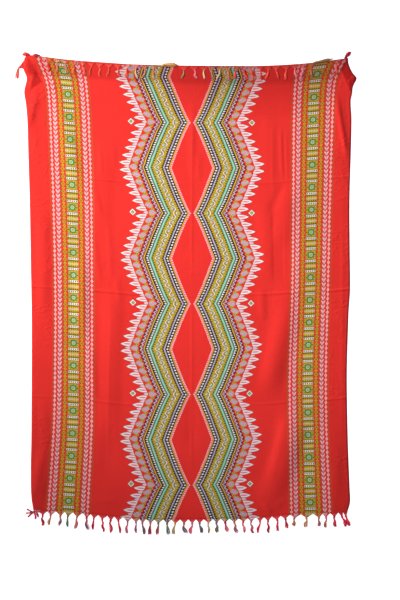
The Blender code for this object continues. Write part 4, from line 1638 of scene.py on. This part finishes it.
@dataclass
class FringeYarn:
    """Makes tassels: a twisted cord of two plies that ends in a tuft of loose threads."""

    plan: ClothPlan
    cord_radius: float = 3.9
    cord_start: float = 6.0
    tuft_start: float = 23.0
    tuft_reach: float = 5.4
    cord_overlap: float = 5.0
    ring_step: float = 1.1
    taper: float = 0.45
    taper_run: float = 4.0
    mouth: float = 0.75
    mouth_run: float = 3.0
    twist_pitch: float = 13.0
    ply_depth: float = 0.2
    cord_shade: float = 0.92
    cord_gleam: float = 0.14
    gleam_wave: float = 1.9
    sway_start: float = 8.0
    sway_run: float = 18.0
    threads: int = 20
    thread_radius: float = 1.0
    thread_rings: int = 9
    thread_sides: int = 4
    thread_taper: float = 0.5
    thread_reach: Pair = (0.35, 1.0)
    thread_turn: float = 0.3
    wander: float = 0.6
    wander_wave: float = 9.0
    wander_turn: float = 3.0
    shades: Pair = (0.75, 1.2)
    open_share: float = 0.55
    close_share: float = 0.65
    tip_spread: float = 4.5
    bluntness: Pair = (0.45, 1.1)
    flatness: float = 0.5
    sides: int = 10
    stride: float = 1.0
    least_run: float = 1e-6

    def ground(self, points: Array, over_face: bool) -> Array:
        """Height of what a strand lies on, in millimetres."""
        if not over_face:
            return np.full(len(points), REST_HEIGHT)
        x, y = points[:, 0], points[:, 1]
        return self.plan.height(x, y, self.plan.top.at(x) - y)

    def along(self, path: Array, places: Array) -> tuple[Array, Array]:
        """Points and sideways directions at lengths along a path.

        Args:
            path: The strand's points, one each half millimetre.
            places: Lengths along it.

        Returns:
            The points and the unit vectors to the strand's side.
        """
        lengths = np.arange(len(path)) * ROUTE_STEP

        def at(where: Array) -> Array:
            """The path's points at some lengths."""
            return np.stack([np.interp(where, lengths, axis) for axis in path.T], axis=-1)

        run = at(places + self.stride) - at(places - self.stride)
        run /= np.maximum(np.linalg.norm(run, axis=-1, keepdims=True), self.least_run)
        return at(places), np.stack([-run[:, 1], run[:, 0]], axis=-1)

    def curl(self, path: Array, reach: float, pitch: float, phase: float) -> Array:
        """A path that winds to both sides of another, more so away from its root.

        Args:
            path: The other path.
            reach: How far it goes to either side, in millimetres.
            pitch: Length of one whole wave.
            phase: Where the wave starts, as an angle.

        Returns:
            The winding path.
        """
        places = np.arange(len(path)) * ROUTE_STEP
        centre, side = self.along(path, places)
        grown = reach * ease((places - self.sway_start) / self.sway_run)
        sway = grown * np.sin(places / pitch * math.tau + phase)
        return centre + side * sway[:, None]

    def add_tube(
        self, draft: Draft, centre: Array, side: Array, radii: Array, tone: Array
    ) -> None:
        """Adds a closed tube.

        Args:
            draft: The piece so far.
            centre: Its centreline, three numbers a ring.
            side: Level unit vector across it at each ring.
            radii: Rings by sides, the distance from the centreline.
            tone: Rings by three, the colour.
        """
        sides = radii.shape[1]
        angle = np.arange(sides) * math.tau / sides
        level = radii * np.cos(angle)
        upright = radii * np.sin(angle) * self.flatness
        points = np.empty((*radii.shape, 3))
        points[..., :2] = centre[:, None, :2] + side[:, None, :] * level[..., None]
        points[..., 2] = centre[:, None, 2] + upright
        marks = np.repeat(tone[:, None, :], sides, axis=1)
        draft.add_grid(points, np.zeros((*radii.shape, 2)), marks, tube=True)

    def add_cord(
        self,
        draft: Draft,
        path: Array,
        tone: Array,
        over_face: bool,
        thick: float = 1.0,
        ends: Pair | None = None,
    ) -> None:
        """Adds a strand of two plies twisted together.

        Args:
            draft: The piece so far.
            path: The strand's points.
            tone: Its colour.
            over_face: Whether it lies on the cloth's face.
            thick: How much thicker than an ordinary one it is.
            ends: Where along the path it starts and ends.
        """
        begin, finish = ends or (self.cord_start, self.tuft_start + self.cord_overlap)
        places = np.linspace(begin, finish, max(int((finish - begin) / self.ring_step), 4))
        centre, side = self.along(path, places)
        narrowing = ease((places - finish + self.taper_run) / self.taper_run)
        opening = ease((places - begin) / self.mouth_run)
        radius = self.cord_radius * thick * (1 - self.taper * narrowing)
        radius = radius * (self.mouth + (1 - self.mouth) * opening)
        height = self.ground(centre, over_face) + radius * self.flatness
        angle = np.arange(self.sides) * math.tau / self.sides
        turn = places[:, None] / self.twist_pitch * math.tau
        ply = 1 - self.ply_depth + self.ply_depth * np.cos(2 * angle[None, :] - turn)
        gleam = self.cord_shade + self.cord_gleam * np.sin(places * self.gleam_wave)
        points = np.concatenate([centre, height[:, None]], axis=-1)
        self.add_tube(draft, points, side, radius[:, None] * ply, tone[None, :] * gleam[:, None])

    def add_tuft(
        self,
        draft: Draft,
        path: Array,
        tones: Sequence[Array],
        over_face: bool,
        fullness: float,
        draw: random.Random,
        start: float | None = None,
        blunt: float | None = None,
    ) -> None:
        """Adds the loose threads at a strand's end.

        Args:
            draft: The piece so far.
            path: The strand's points.
            tones: Colours that the threads take.
            over_face: Whether it lies on the cloth's face.
            fullness: How much wider than an ordinary one it is.
            draw: Where its chances come from.
            start: Where along the path it starts.
            blunt: How wide its tip is, as a share of its middle.
        """
        begin = self.tuft_start if start is None else start
        whole = (len(path) - 1) * ROUTE_STEP
        blunt = draw.uniform(*self.bluntness) if blunt is None else blunt
        rings = self.thread_rings
        for k in range(self.threads):
            finish = whole - draw.uniform(0, self.tip_spread)
            places = np.linspace(begin, finish, rings)
            share = np.linspace(0, 1, rings)
            centre, side = self.along(path, places)
            turn = draw.uniform(-self.thread_turn, self.thread_turn)
            angle = math.tau * k / self.threads + turn
            reach = self.tuft_reach * fullness * draw.uniform(*self.thread_reach)
            opened = 0.5 + 0.5 * ease(share / self.open_share)
            closed = (1 - blunt) * ease((share - self.close_share) / (1 - self.close_share))
            wave = np.sin(share * self.wander_wave + angle * self.wander_turn)
            spread = reach * (opened - closed) + self.wander * wave * share
            level = spread * math.cos(angle)
            upright = spread * (1 + math.sin(angle)) * self.flatness
            height = self.ground(centre, over_face) + self.thread_radius + upright
            points = np.column_stack([centre + side * level[:, None], height])
            radii = np.full((rings, self.thread_sides), self.thread_radius)
            radii = radii * (1 - self.thread_taper * share[:, None] ** 3)
            tone = draw.choice(tones) * draw.uniform(*self.shades)
            self.add_tube(draft, points, side, radii, np.repeat(tone[None, :], rings, axis=0))


@dataclass
class LooseThreads:
    """The frayed spray of untied warp threads at the bottom left corner."""

    plan: ClothPlan
    yarn: FringeYarn
    seed: int = 31
    rings: int = 12
    radius: float = 1.5
    pale_radius: float = 1.1
    turn: float = 16.0
    settle_spread: float = 1.6
    lengths: Pair = (0.8, 1.06)
    root_spread: Pair = (1.6, 1.0)
    curl: float = 0.9
    curl_pitch: float = 3.2
    curl_run: float = 10.0
    curl_phase: float = 6.0
    lie: float = 1.0
    arch: float = 1.6
    shades: Pair = (0.8, 1.15)
    dark: tuple[Tone, ...] = (Tone.CRIMSON, Tone.CRIMSON, Tone.WINE)
    pale: tuple[Tone, ...] = (Tone.BLUSH, Tone.BLUSH, Tone.MAUVE, Tone.CRIMSON)

    def add(self, draft: Draft) -> None:
        """Adds all of it to the lower fringe."""
        draw = random.Random(self.seed)
        for lock in LOOSE_THREADS:
            for _ in range(lock.count):
                self.add_thread(draft, lock, draw)

    def add_thread(self, draft: Draft, lock: Thread, draw: random.Random) -> None:
        """Adds one thread.

        Args:
            draft: The piece so far.
            lock: The lock that it is in.
            draw: Where its chances come from.
        """
        leave = lock.leave + draw.uniform(-1, 1) * lock.spread
        settle_on = lock.settle + draw.uniform(-1, 1) * lock.spread * self.settle_spread
        length = lock.length * draw.uniform(*self.lengths)
        spread_x, spread_y = self.root_spread
        x = lock.x + draw.uniform(-spread_x, spread_x)
        y = float(self.plan.bottom.at(lock.x)) - lock.drop + draw.uniform(-spread_y, spread_y)
        path = route(np.array([x, y]), Course(0, leave, settle_on, self.turn, length, 1.0))
        whole = (len(path) - 1) * ROUTE_STEP
        places = np.linspace(0, whole, self.rings)
        centre, side = self.yarn.along(path, places)
        curl = self.curl * np.sin(places / self.curl_pitch + draw.uniform(0, self.curl_phase))
        curl = curl * ease(places / self.curl_run)
        height = self.lie + draw.uniform(0, self.arch) * np.sin(np.pi * places / whole)
        points = np.column_stack([centre + side * curl[:, None], height])
        radius = self.pale_radius if lock.pale else self.radius
        radii = np.full((self.rings, self.yarn.thread_sides), radius)
        tone = draw.choice(self.pale if lock.pale else self.dark).linear
        tone = tone * draw.uniform(*self.shades)
        self.yarn.add_tube(draft, points, side, radii, np.repeat(tone[None, :], self.rings, axis=0))


@dataclass
class Fringe:
    """The fringe's tassels, where the solids have their strands."""

    plan: ClothPlan
    placement: Placement
    yarn: FringeYarn
    face_yarn: FringeYarn
    columns: int = 10
    neck_place: float = 11.0
    face_neck: float = 17.0
    side_neck: float = 18.0
    holds: Pair = (0.12, 0.34)
    face_hold: float = 0.12
    face_part: float = 0.96
    stray_part: float = 1.5
    corner_part: float = 0.5
    inset: float = 0.6
    face_inset: float = -2.6
    stray_inset: float = -1.0
    ear_side: float = 30.0
    ear_top: float = 38.0
    stray_leads: dict[int, float] = field(default_factory=lambda: {0: 7.0, 33: 20.0})
    stray_tuft: float = 0.18
    stray_blunt: float = 0.3
    side_tuft: float = 0.45
    side_blunt: float = 1.2
    side_begin: float = 13.0
    edge_step: float = 0.001
    thickening: float = 0.4
    web_seed: int = 2100
    lower_seed: int = 900
    face_seed: int = 1300
    stray_seed: int = 1500
    side_seed: int = 77
    sway: Pair = (0.4, 2.4)
    sway_pitch: Pair = (22.0, 40.0)

    def share_across(self, edge: Edge, x: float) -> float:
        """The share across the cloth of a place along its top or bottom edge."""
        return (x - edge[0].x) / (edge[-1].x - edge[0].x)

    def bottom_shares(self) -> list[float]:
        """Share across the cloth of each lower tassel's root."""
        plain = [self.share_across(BOTTOM_EDGE, hang.x) for hang in LOWER_TASSELS]
        return plain + [one.place for one in CORNER_PAIR]

    def top_share(self, slot: int) -> float:
        """Share across the cloth of an upper tassel's root."""
        return self.share_across(TOP_EDGE, TOP_ROOTS[slot])

    def top_span(self, slot: int, part: float) -> Pair:
        """Where a part of an upper tassel's room along the edge starts and ends.

        Args:
            slot: Which tassel.
            part: Share of the way to its neighbours.

        Returns:
            The two shares across the cloth.
        """
        middle = self.top_share(slot)
        before = self.top_share(slot - 1) if slot else 2 * middle - self.top_share(1)
        last = len(TOP_ROOTS) - 1
        after = self.top_share(slot + 1) if slot < last else 2 * middle - before
        start = middle + (before - middle) * part / 2
        end = middle + (after - middle) * part / 2
        return max(start, 0.0), min(end, 1.0)

    def start(self, edge: Edge, share: float, way: int, beyond: float) -> Array:
        """Point a little beyond an edge.

        Args:
            edge: The top or bottom edge.
            share: Share across the cloth.
            way: 1 at the top edge and -1 at the bottom.
            beyond: How far out it is, in millimetres.

        Returns:
            The point.
        """
        before = self.plan.end_point(edge, share - self.edge_step)
        after = self.plan.end_point(edge, share + self.edge_step)
        run = np.array([after[0] - before[0], after[1] - before[1]])
        run /= np.linalg.norm(run)
        out = np.array([-run[1], run[0]]) * way
        return np.array(self.plan.end_point(edge, share), float) + out * beyond

    def bottom_path(self, slot: int) -> Array:
        """A lower tassel's points."""
        start = self.start(BOTTOM_EDGE, self.bottom_shares()[slot], -1, SEAM_GAP + STRIP_WIDTH)
        if slot >= len(LOWER_TASSELS):
            return route(start, CORNER_PAIR[slot - len(LOWER_TASSELS)].course)
        hang = LOWER_TASSELS[slot]
        turn = hang.length * CURVE_SHARE
        return route(start, Course(slot, hang.leave, hang.settle, turn, hang.length, hang.fullness))

    def top_path(self, slot: int) -> Array:
        """The points of a top tassel that lies on the face."""
        start = self.start(TOP_EDGE, self.top_share(slot), 1, SEAM_GAP + STRIP_WIDTH / 2)
        return route(start, top_tassel(slot))

    def base(self, edge: Edge, span: Pair, inset: float) -> Array:
        """Points along the top or bottom edge, a little inside it.

        Args:
            edge: The edge.
            span: Where they start and end, as shares across the cloth.
            inset: How far they are moved along the cloth, in millimetres.

        Returns:
            The points.
        """
        shares = np.linspace(*span, self.columns + 1)
        points = np.stack(self.plan.end_point(edge, shares), axis=-1)
        points[:, 1] += inset
        return points

    def web(self, lay: Lay, base: Array, path: Array, place: float, hold: float) -> Web:
        """The web from a stretch of an edge to a tassel's neck.

        Args:
            lay: Where it lies.
            base: Points along the edge.
            path: The tassel's points.
            place: How far along them the neck is.
            hold: Share of its depth over which it keeps its whole width.

        Returns:
            The web.
        """
        neck, side = self.yarn.along(path, np.array([place]))
        across = self.plan.print_across(base[:, 0], base[:, 1])
        depth = float(np.linalg.norm(neck[0] - base[len(base) // 2]))
        return Web(lay, base, across, neck[0], side[0], depth, hold)

    def webs(self) -> list[Web]:
        """All the tassels' webs."""
        made = self.bottom_webs()
        made += [self.face_web(slot) for slot in self.face_slots()]
        made += [self.stray_web(stray) for stray in STRAYS[1:]]
        return made + [self.ear_web(), self.side_web()]

    def bottom_webs(self) -> list[Web]:
        """The lower tassels' webs, each of which meets its neighbours' in an arch."""
        draw = random.Random(self.web_seed)
        shares = self.bottom_shares()
        halfway = [(before + after) / 2 for before, after in zip(shares, shares[1:])]
        bounds = [2 * shares[0] - halfway[0], *halfway, 1.0]
        made = []
        for slot, span in enumerate(zip(bounds, bounds[1:])):
            base = self.base(BOTTOM_EDGE, span, self.inset)
            hold = draw.uniform(*self.holds)
            made.append(self.web(Lay.BELOW, base, self.bottom_path(slot), self.neck_place, hold))
        return made

    def face_web(self, slot: int) -> Web:
        """The web of a top tassel that lies on the face."""
        base = self.base(TOP_EDGE, self.top_span(slot, self.face_part), self.face_inset)
        return self.web(Lay.FACE, base, self.top_path(slot), self.face_neck, self.face_hold)

    def stray_web(self, stray: Course) -> Web:
        """The web of a top tassel that lies beyond the edge."""
        at_corner = stray.slot in (1, len(TOP_ROOTS) - 1)
        part = self.corner_part if at_corner else self.stray_part
        base = self.base(TOP_EDGE, self.top_span(stray.slot, part), self.stray_inset)
        return self.web(Lay.BEYOND, base, self.stray_path(stray), self.neck_place, 0.0)

    def ear_web(self) -> Web:
        """The web of the left corner's knot, which takes in the corner itself."""
        corner = TOP_EDGE[0]
        half = self.columns // 2
        left_y = corner.y - np.linspace(self.ear_side, 0.0, half + 1)[:-1]
        left = np.stack([self.plan.left.at(left_y) + self.inset, left_y], axis=-1)
        top_x = np.linspace(corner.x, corner.x + self.ear_top, self.columns - half + 1)
        top = np.stack([top_x, self.plan.top.at(top_x) + self.stray_inset], axis=-1)
        base = np.concatenate([left, top])
        return self.web(Lay.BEYOND, base, self.stray_path(STRAYS[0]), self.neck_place, 0.0)

    def side_web(self) -> Web:
        """The left corner tassel's web."""
        y = np.linspace(SIDE_TASSEL_TOP, SIDE_TASSEL_BOTTOM, self.columns + 1)
        base = np.stack([self.plan.left.at(y) + self.inset, y], axis=-1)
        return self.web(Lay.BELOW, base, self.side_path(), self.side_neck, 0.0)

    def stray_path(self, stray: Course) -> Array:
        """The points of a top tassel that lies beyond the edge."""
        lead = self.stray_leads.get(stray.slot, 0.0)
        share = self.share_across(TOP_EDGE, TOP_ROOTS[stray.slot] - lead)
        start = self.start(TOP_EDGE, share, 1, 0.0)
        return route(start, stray._replace(length=stray.length + lead))

    def side_path(self) -> Array:
        """The left corner tassel's points."""
        y = (SIDE_TASSEL_TOP + SIDE_TASSEL_BOTTOM) / 2
        start = np.array([float(self.plan.left.at(y)) - SEAM_GAP * 2 - STRIP_WIDTH, y])
        return route(start, SIDE_TASSEL)

    def face_slots(self) -> list[int]:
        """The slots whose top tassels lie on the face."""
        beyond = {stray.slot for stray in STRAYS}
        left_out = beyond.union(EMPTY_TOP_SLOTS)
        return [slot for slot in range(len(TOP_ROOTS)) if slot not in left_out]

    def add_tassel(
        self,
        draft: Draft,
        path: Array,
        cord: Tone,
        tuft: Tone,
        over_face: bool,
        fullness: float,
        seed: int,
    ) -> None:
        """Adds one tassel.

        Args:
            draft: The piece so far.
            path: Its points.
            cord: Its cord's tone.
            tuft: Its tuft's main tone.
            over_face: Whether it lies on the cloth's face.
            fullness: How much wider than an ordinary one it is.
            seed: Where its chances start.
        """
        draw = random.Random(seed)
        yarn = self.face_yarn if over_face else self.yarn
        colours = [tuft.linear] * 3 + [cord.linear]
        reach = draw.uniform(*self.sway)
        pitch = draw.uniform(*self.sway_pitch)
        path = yarn.curl(path, reach, pitch, draw.uniform(0, math.tau))
        thick = 1.0 + self.thickening * (fullness - 1)
        yarn.add_cord(draft, path, cord.linear, over_face, thick)
        yarn.add_tuft(draft, path, colours, over_face, fullness, draw)

    def build_bottom(self) -> Piece:
        """Makes the lower fringe and the untied threads at its left end."""
        draft = Draft()
        looks = [(hang.cord, hang.tuft, hang.fullness) for hang in LOWER_TASSELS]
        looks += [(Tone.CRIMSON, Tone.CRIMSON, one.course.fullness) for one in CORNER_PAIR]
        for slot, (cord, tuft, fullness) in enumerate(looks):
            seed = self.lower_seed + slot
            self.add_tassel(draft, self.bottom_path(slot), cord, tuft, False, fullness, seed)
        LooseThreads(self.plan, self.yarn).add(draft)
        return draft.build("lower_fringe", self.placement)

    def build_top(self) -> Piece:
        """Makes the upper fringe: tassels on the face and strays beyond the edge."""
        draft = Draft()
        tones = spell_out(TOP_TONES)
        for slot in self.face_slots():
            tone = tones[slot]
            seed = self.face_seed + slot
            self.add_tassel(draft, self.top_path(slot), tone, tone, True, 1.0, seed)
        for stray in STRAYS:
            tone = tones[stray.slot]
            shades = [tone, tone, Tone.RUST if tone is Tone.OLIVE else Tone.CRIMSON]
            draw = random.Random(self.stray_seed + stray.slot)
            path, shape = self.stray_path(stray), (self.stray_tuft, self.stray_blunt)
            self.add_stray(draft, path, stray.fullness, shades, draw, *shape)
        return draft.build("upper_fringe", self.placement)

    def add_stray(
        self,
        draft: Draft,
        path: Array,
        fullness: float,
        tones: Sequence[Tone],
        draw: random.Random,
        part: float,
        blunt: float,
        begin: float = 0.0,
    ) -> None:
        """Adds a tassel that lies beyond the top edge or a corner, and doesn't wind.

        Args:
            draft: The piece so far.
            path: Its points.
            fullness: How much wider than an ordinary one it is.
            tones: Its cord's tone, then the others of its tuft.
            draw: Where its chances come from.
            part: Share of its length where its tuft starts.
            blunt: How wide its tip is, as a share of its middle.
            begin: Where along its length its cord starts.
        """
        middle = (len(path) - 1) * ROUTE_STEP * part
        ends = begin, middle + self.yarn.cord_overlap
        self.yarn.add_cord(draft, path, tones[0].linear, False, fullness, ends)
        colours = [tone.linear for tone in tones]
        self.yarn.add_tuft(draft, path, colours, False, fullness, draw, middle, blunt)

    def build_side(self) -> Piece:
        """Makes the left corner's tassel, whose cord starts where the web has narrowed."""
        draft = Draft()
        draw = random.Random(self.side_seed)
        shape = self.side_tuft, self.side_blunt, self.side_begin
        self.add_stray(draft, self.side_path(), SIDE_TASSEL.fullness, [Tone.FLAME], draw, *shape)
        return draft.build("corner_tassel", self.placement)


@dataclass(frozen=True)
class Lamp:
    """A soft round lamp: where it is, what it points at, its light and its cone."""

    name: str
    place: tuple[float, float, float]
    aim: tuple[float, float, float]
    power: float
    colour: tuple[float, float, float]
    cone: float
    size: float = 0.8

    def build(self) -> None:
        """Adds the lamp."""
        light = bpy.data.lights.new(self.name, "SPOT")
        light.energy = self.power
        light.color = self.colour
        light.spot_size = math.radians(self.cone)
        light.spot_blend = 1.0
        light.shadow_soft_size = self.size
        lamp = bpy.data.objects.new(self.name, light)
        bpy.context.scene.collection.objects.link(lamp)
        lamp.location = self.place
        way = Vector(self.aim) - Vector(self.place)
        lamp.rotation_euler = way.to_track_quat("-Z", "Y").to_euler()


@dataclass
class Studio:
    """The floor, the soft light and the camera straight above."""

    placement: Placement
    floor_side: float = 14.0
    floor_glow: float = 0.8
    camera_height: float = 6.0
    sensor: float = 36.0
    world_strength: float = 0.185
    world_colour: tuple[float, float, float] = (0.86, 0.95, 1.45)
    lamps: tuple[Lamp, ...] = (
        Lamp("raking_lamp", (-4.2, 1.7, 2.3), (-0.05, 0.32, 0.0), 1710.0, (1.0, 0.96, 0.9), 34.0),
        Lamp("top_lamp", (-0.4, 0.9, 3.4), (-0.15, 0.3, 0.0), 126.0, (1.0, 0.97, 0.94), 50.0),
    )

    def build(self) -> None:
        """Makes all of it."""
        self.add_floor()
        self.add_light()
        self.add_camera()

    def add_floor(self) -> None:
        """Adds the plain pale floor."""
        bpy.ops.mesh.primitive_plane_add(size=self.floor_side)
        floor = bpy.context.active_object
        floor.name = "floor"
        floor.data.materials.append(Dress("pale_floor").surface({
            "Base Color": (0.9, 0.9, 0.9, 1.0),
            "Roughness": 0.9,
            "Emission Color": (1.0, 1.0, 1.0, 1.0),
            "Emission Strength": self.floor_glow,
        }))

    def add_light(self) -> None:
        """Adds the lamps, and even light all round."""
        for lamp in self.lamps:
            lamp.build()
        world = bpy.data.worlds.new("studio")
        world.use_nodes = True
        background = world.node_tree.nodes["Background"]
        background.inputs["Color"].default_value = (*self.world_colour, 1.0)
        background.inputs["Strength"].default_value = self.world_strength
        bpy.context.scene.world = world
        bpy.context.scene.view_settings.view_transform = "Standard"

    def add_camera(self) -> None:
        """Adds the camera, which takes in what the photograph's frame does."""
        middle = np.array([[
            (PHOTO_WIDTH / 2 - PRINT_MIDDLE_X) * PIXEL,
            (PRINT_MIDDLE_Y - PHOTO_HEIGHT / 2) * PIXEL,
            0.0,
        ]])
        x, y, _z = self.placement.place(middle)[0]
        lens = bpy.data.cameras.new("camera")
        lens.sensor_width = self.sensor
        lens.lens = self.sensor * self.camera_height / (PHOTO_HEIGHT * PIXEL * MM)
        camera = bpy.data.objects.new("camera", lens)
        camera.location = (x, y, self.camera_height)
        bpy.context.scene.collection.objects.link(camera)
        bpy.context.scene.camera = camera


def settle(made: Piece, slot: str, *nodes: str) -> None:
    """Joins a piece to the frame.

    Args:
        made: The piece.
        slot: The record's material slot; not used.
        nodes: The solids that it stands for.
    """
    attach(made, "root")
    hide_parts(*nodes)
    LOG.info("%s: %d faces, stands for %s", made.name, len(made.data.polygons), ", ".join(nodes))


def main() -> None:
    """Builds the dressed sarong and its studio."""
    logging.basicConfig(level=logging.INFO, format="%(name)s %(message)s")
    placement = Placement.from_frame()
    plan = ClothPlan()
    finish = ClothFinish(SarongPrint().build(), PaintedClothShade().build(placement), PlainWeave().build())
    face = finish.material("printed_face", False)
    reverse = finish.material("printed_reverse", True)
    yarn = YarnFinish().material()

    flat_yarn = FringeYarn(plan, cord_radius=2.5, tuft_reach=3.3, thread_radius=0.8, flatness=0.22)
    fringe = Fringe(plan, placement, FringeYarn(plan), flat_yarn)
    cloth = Cloth(plan, placement).build(fringe.webs())
    cloth.data.materials.append(face)
    cloth.data.materials.append(reverse)
    give_wall(cloth)
    settle(cloth, "printed_cloth", "panel")

    # A turned corner lies with the cloth's reverse up, so that is its first material
    flaps = (
        TurnedCorner("turned_corner_left", LEFT_FLAP, (0, 1, 2, 3, 4)),
        TurnedCorner("turned_corner_right", RIGHT_FLAP, (0, 4, 5, 6, 7, 8)),
    )
    left, right = (flap.build(plan, placement) for flap in flaps)
    for corner, node in ((left, "corner_left"), (right, "corner_right")):
        corner.data.materials.append(reverse)
        corner.data.materials.append(face)
        give_wall(corner)
        settle(corner, "printed_cloth", node)

    lower = fringe.build_bottom()
    upper = fringe.build_top()
    tassel = fringe.build_side()
    for piece, node in ((lower, "fringe_bottom"), (upper, "fringe_top"), (tassel, "tassel_left")):
        piece.data.materials.append(yarn)
        settle(piece, "fringe_yarn", node)

    Studio(placement).build()


if __name__ == "__main__":
    main()
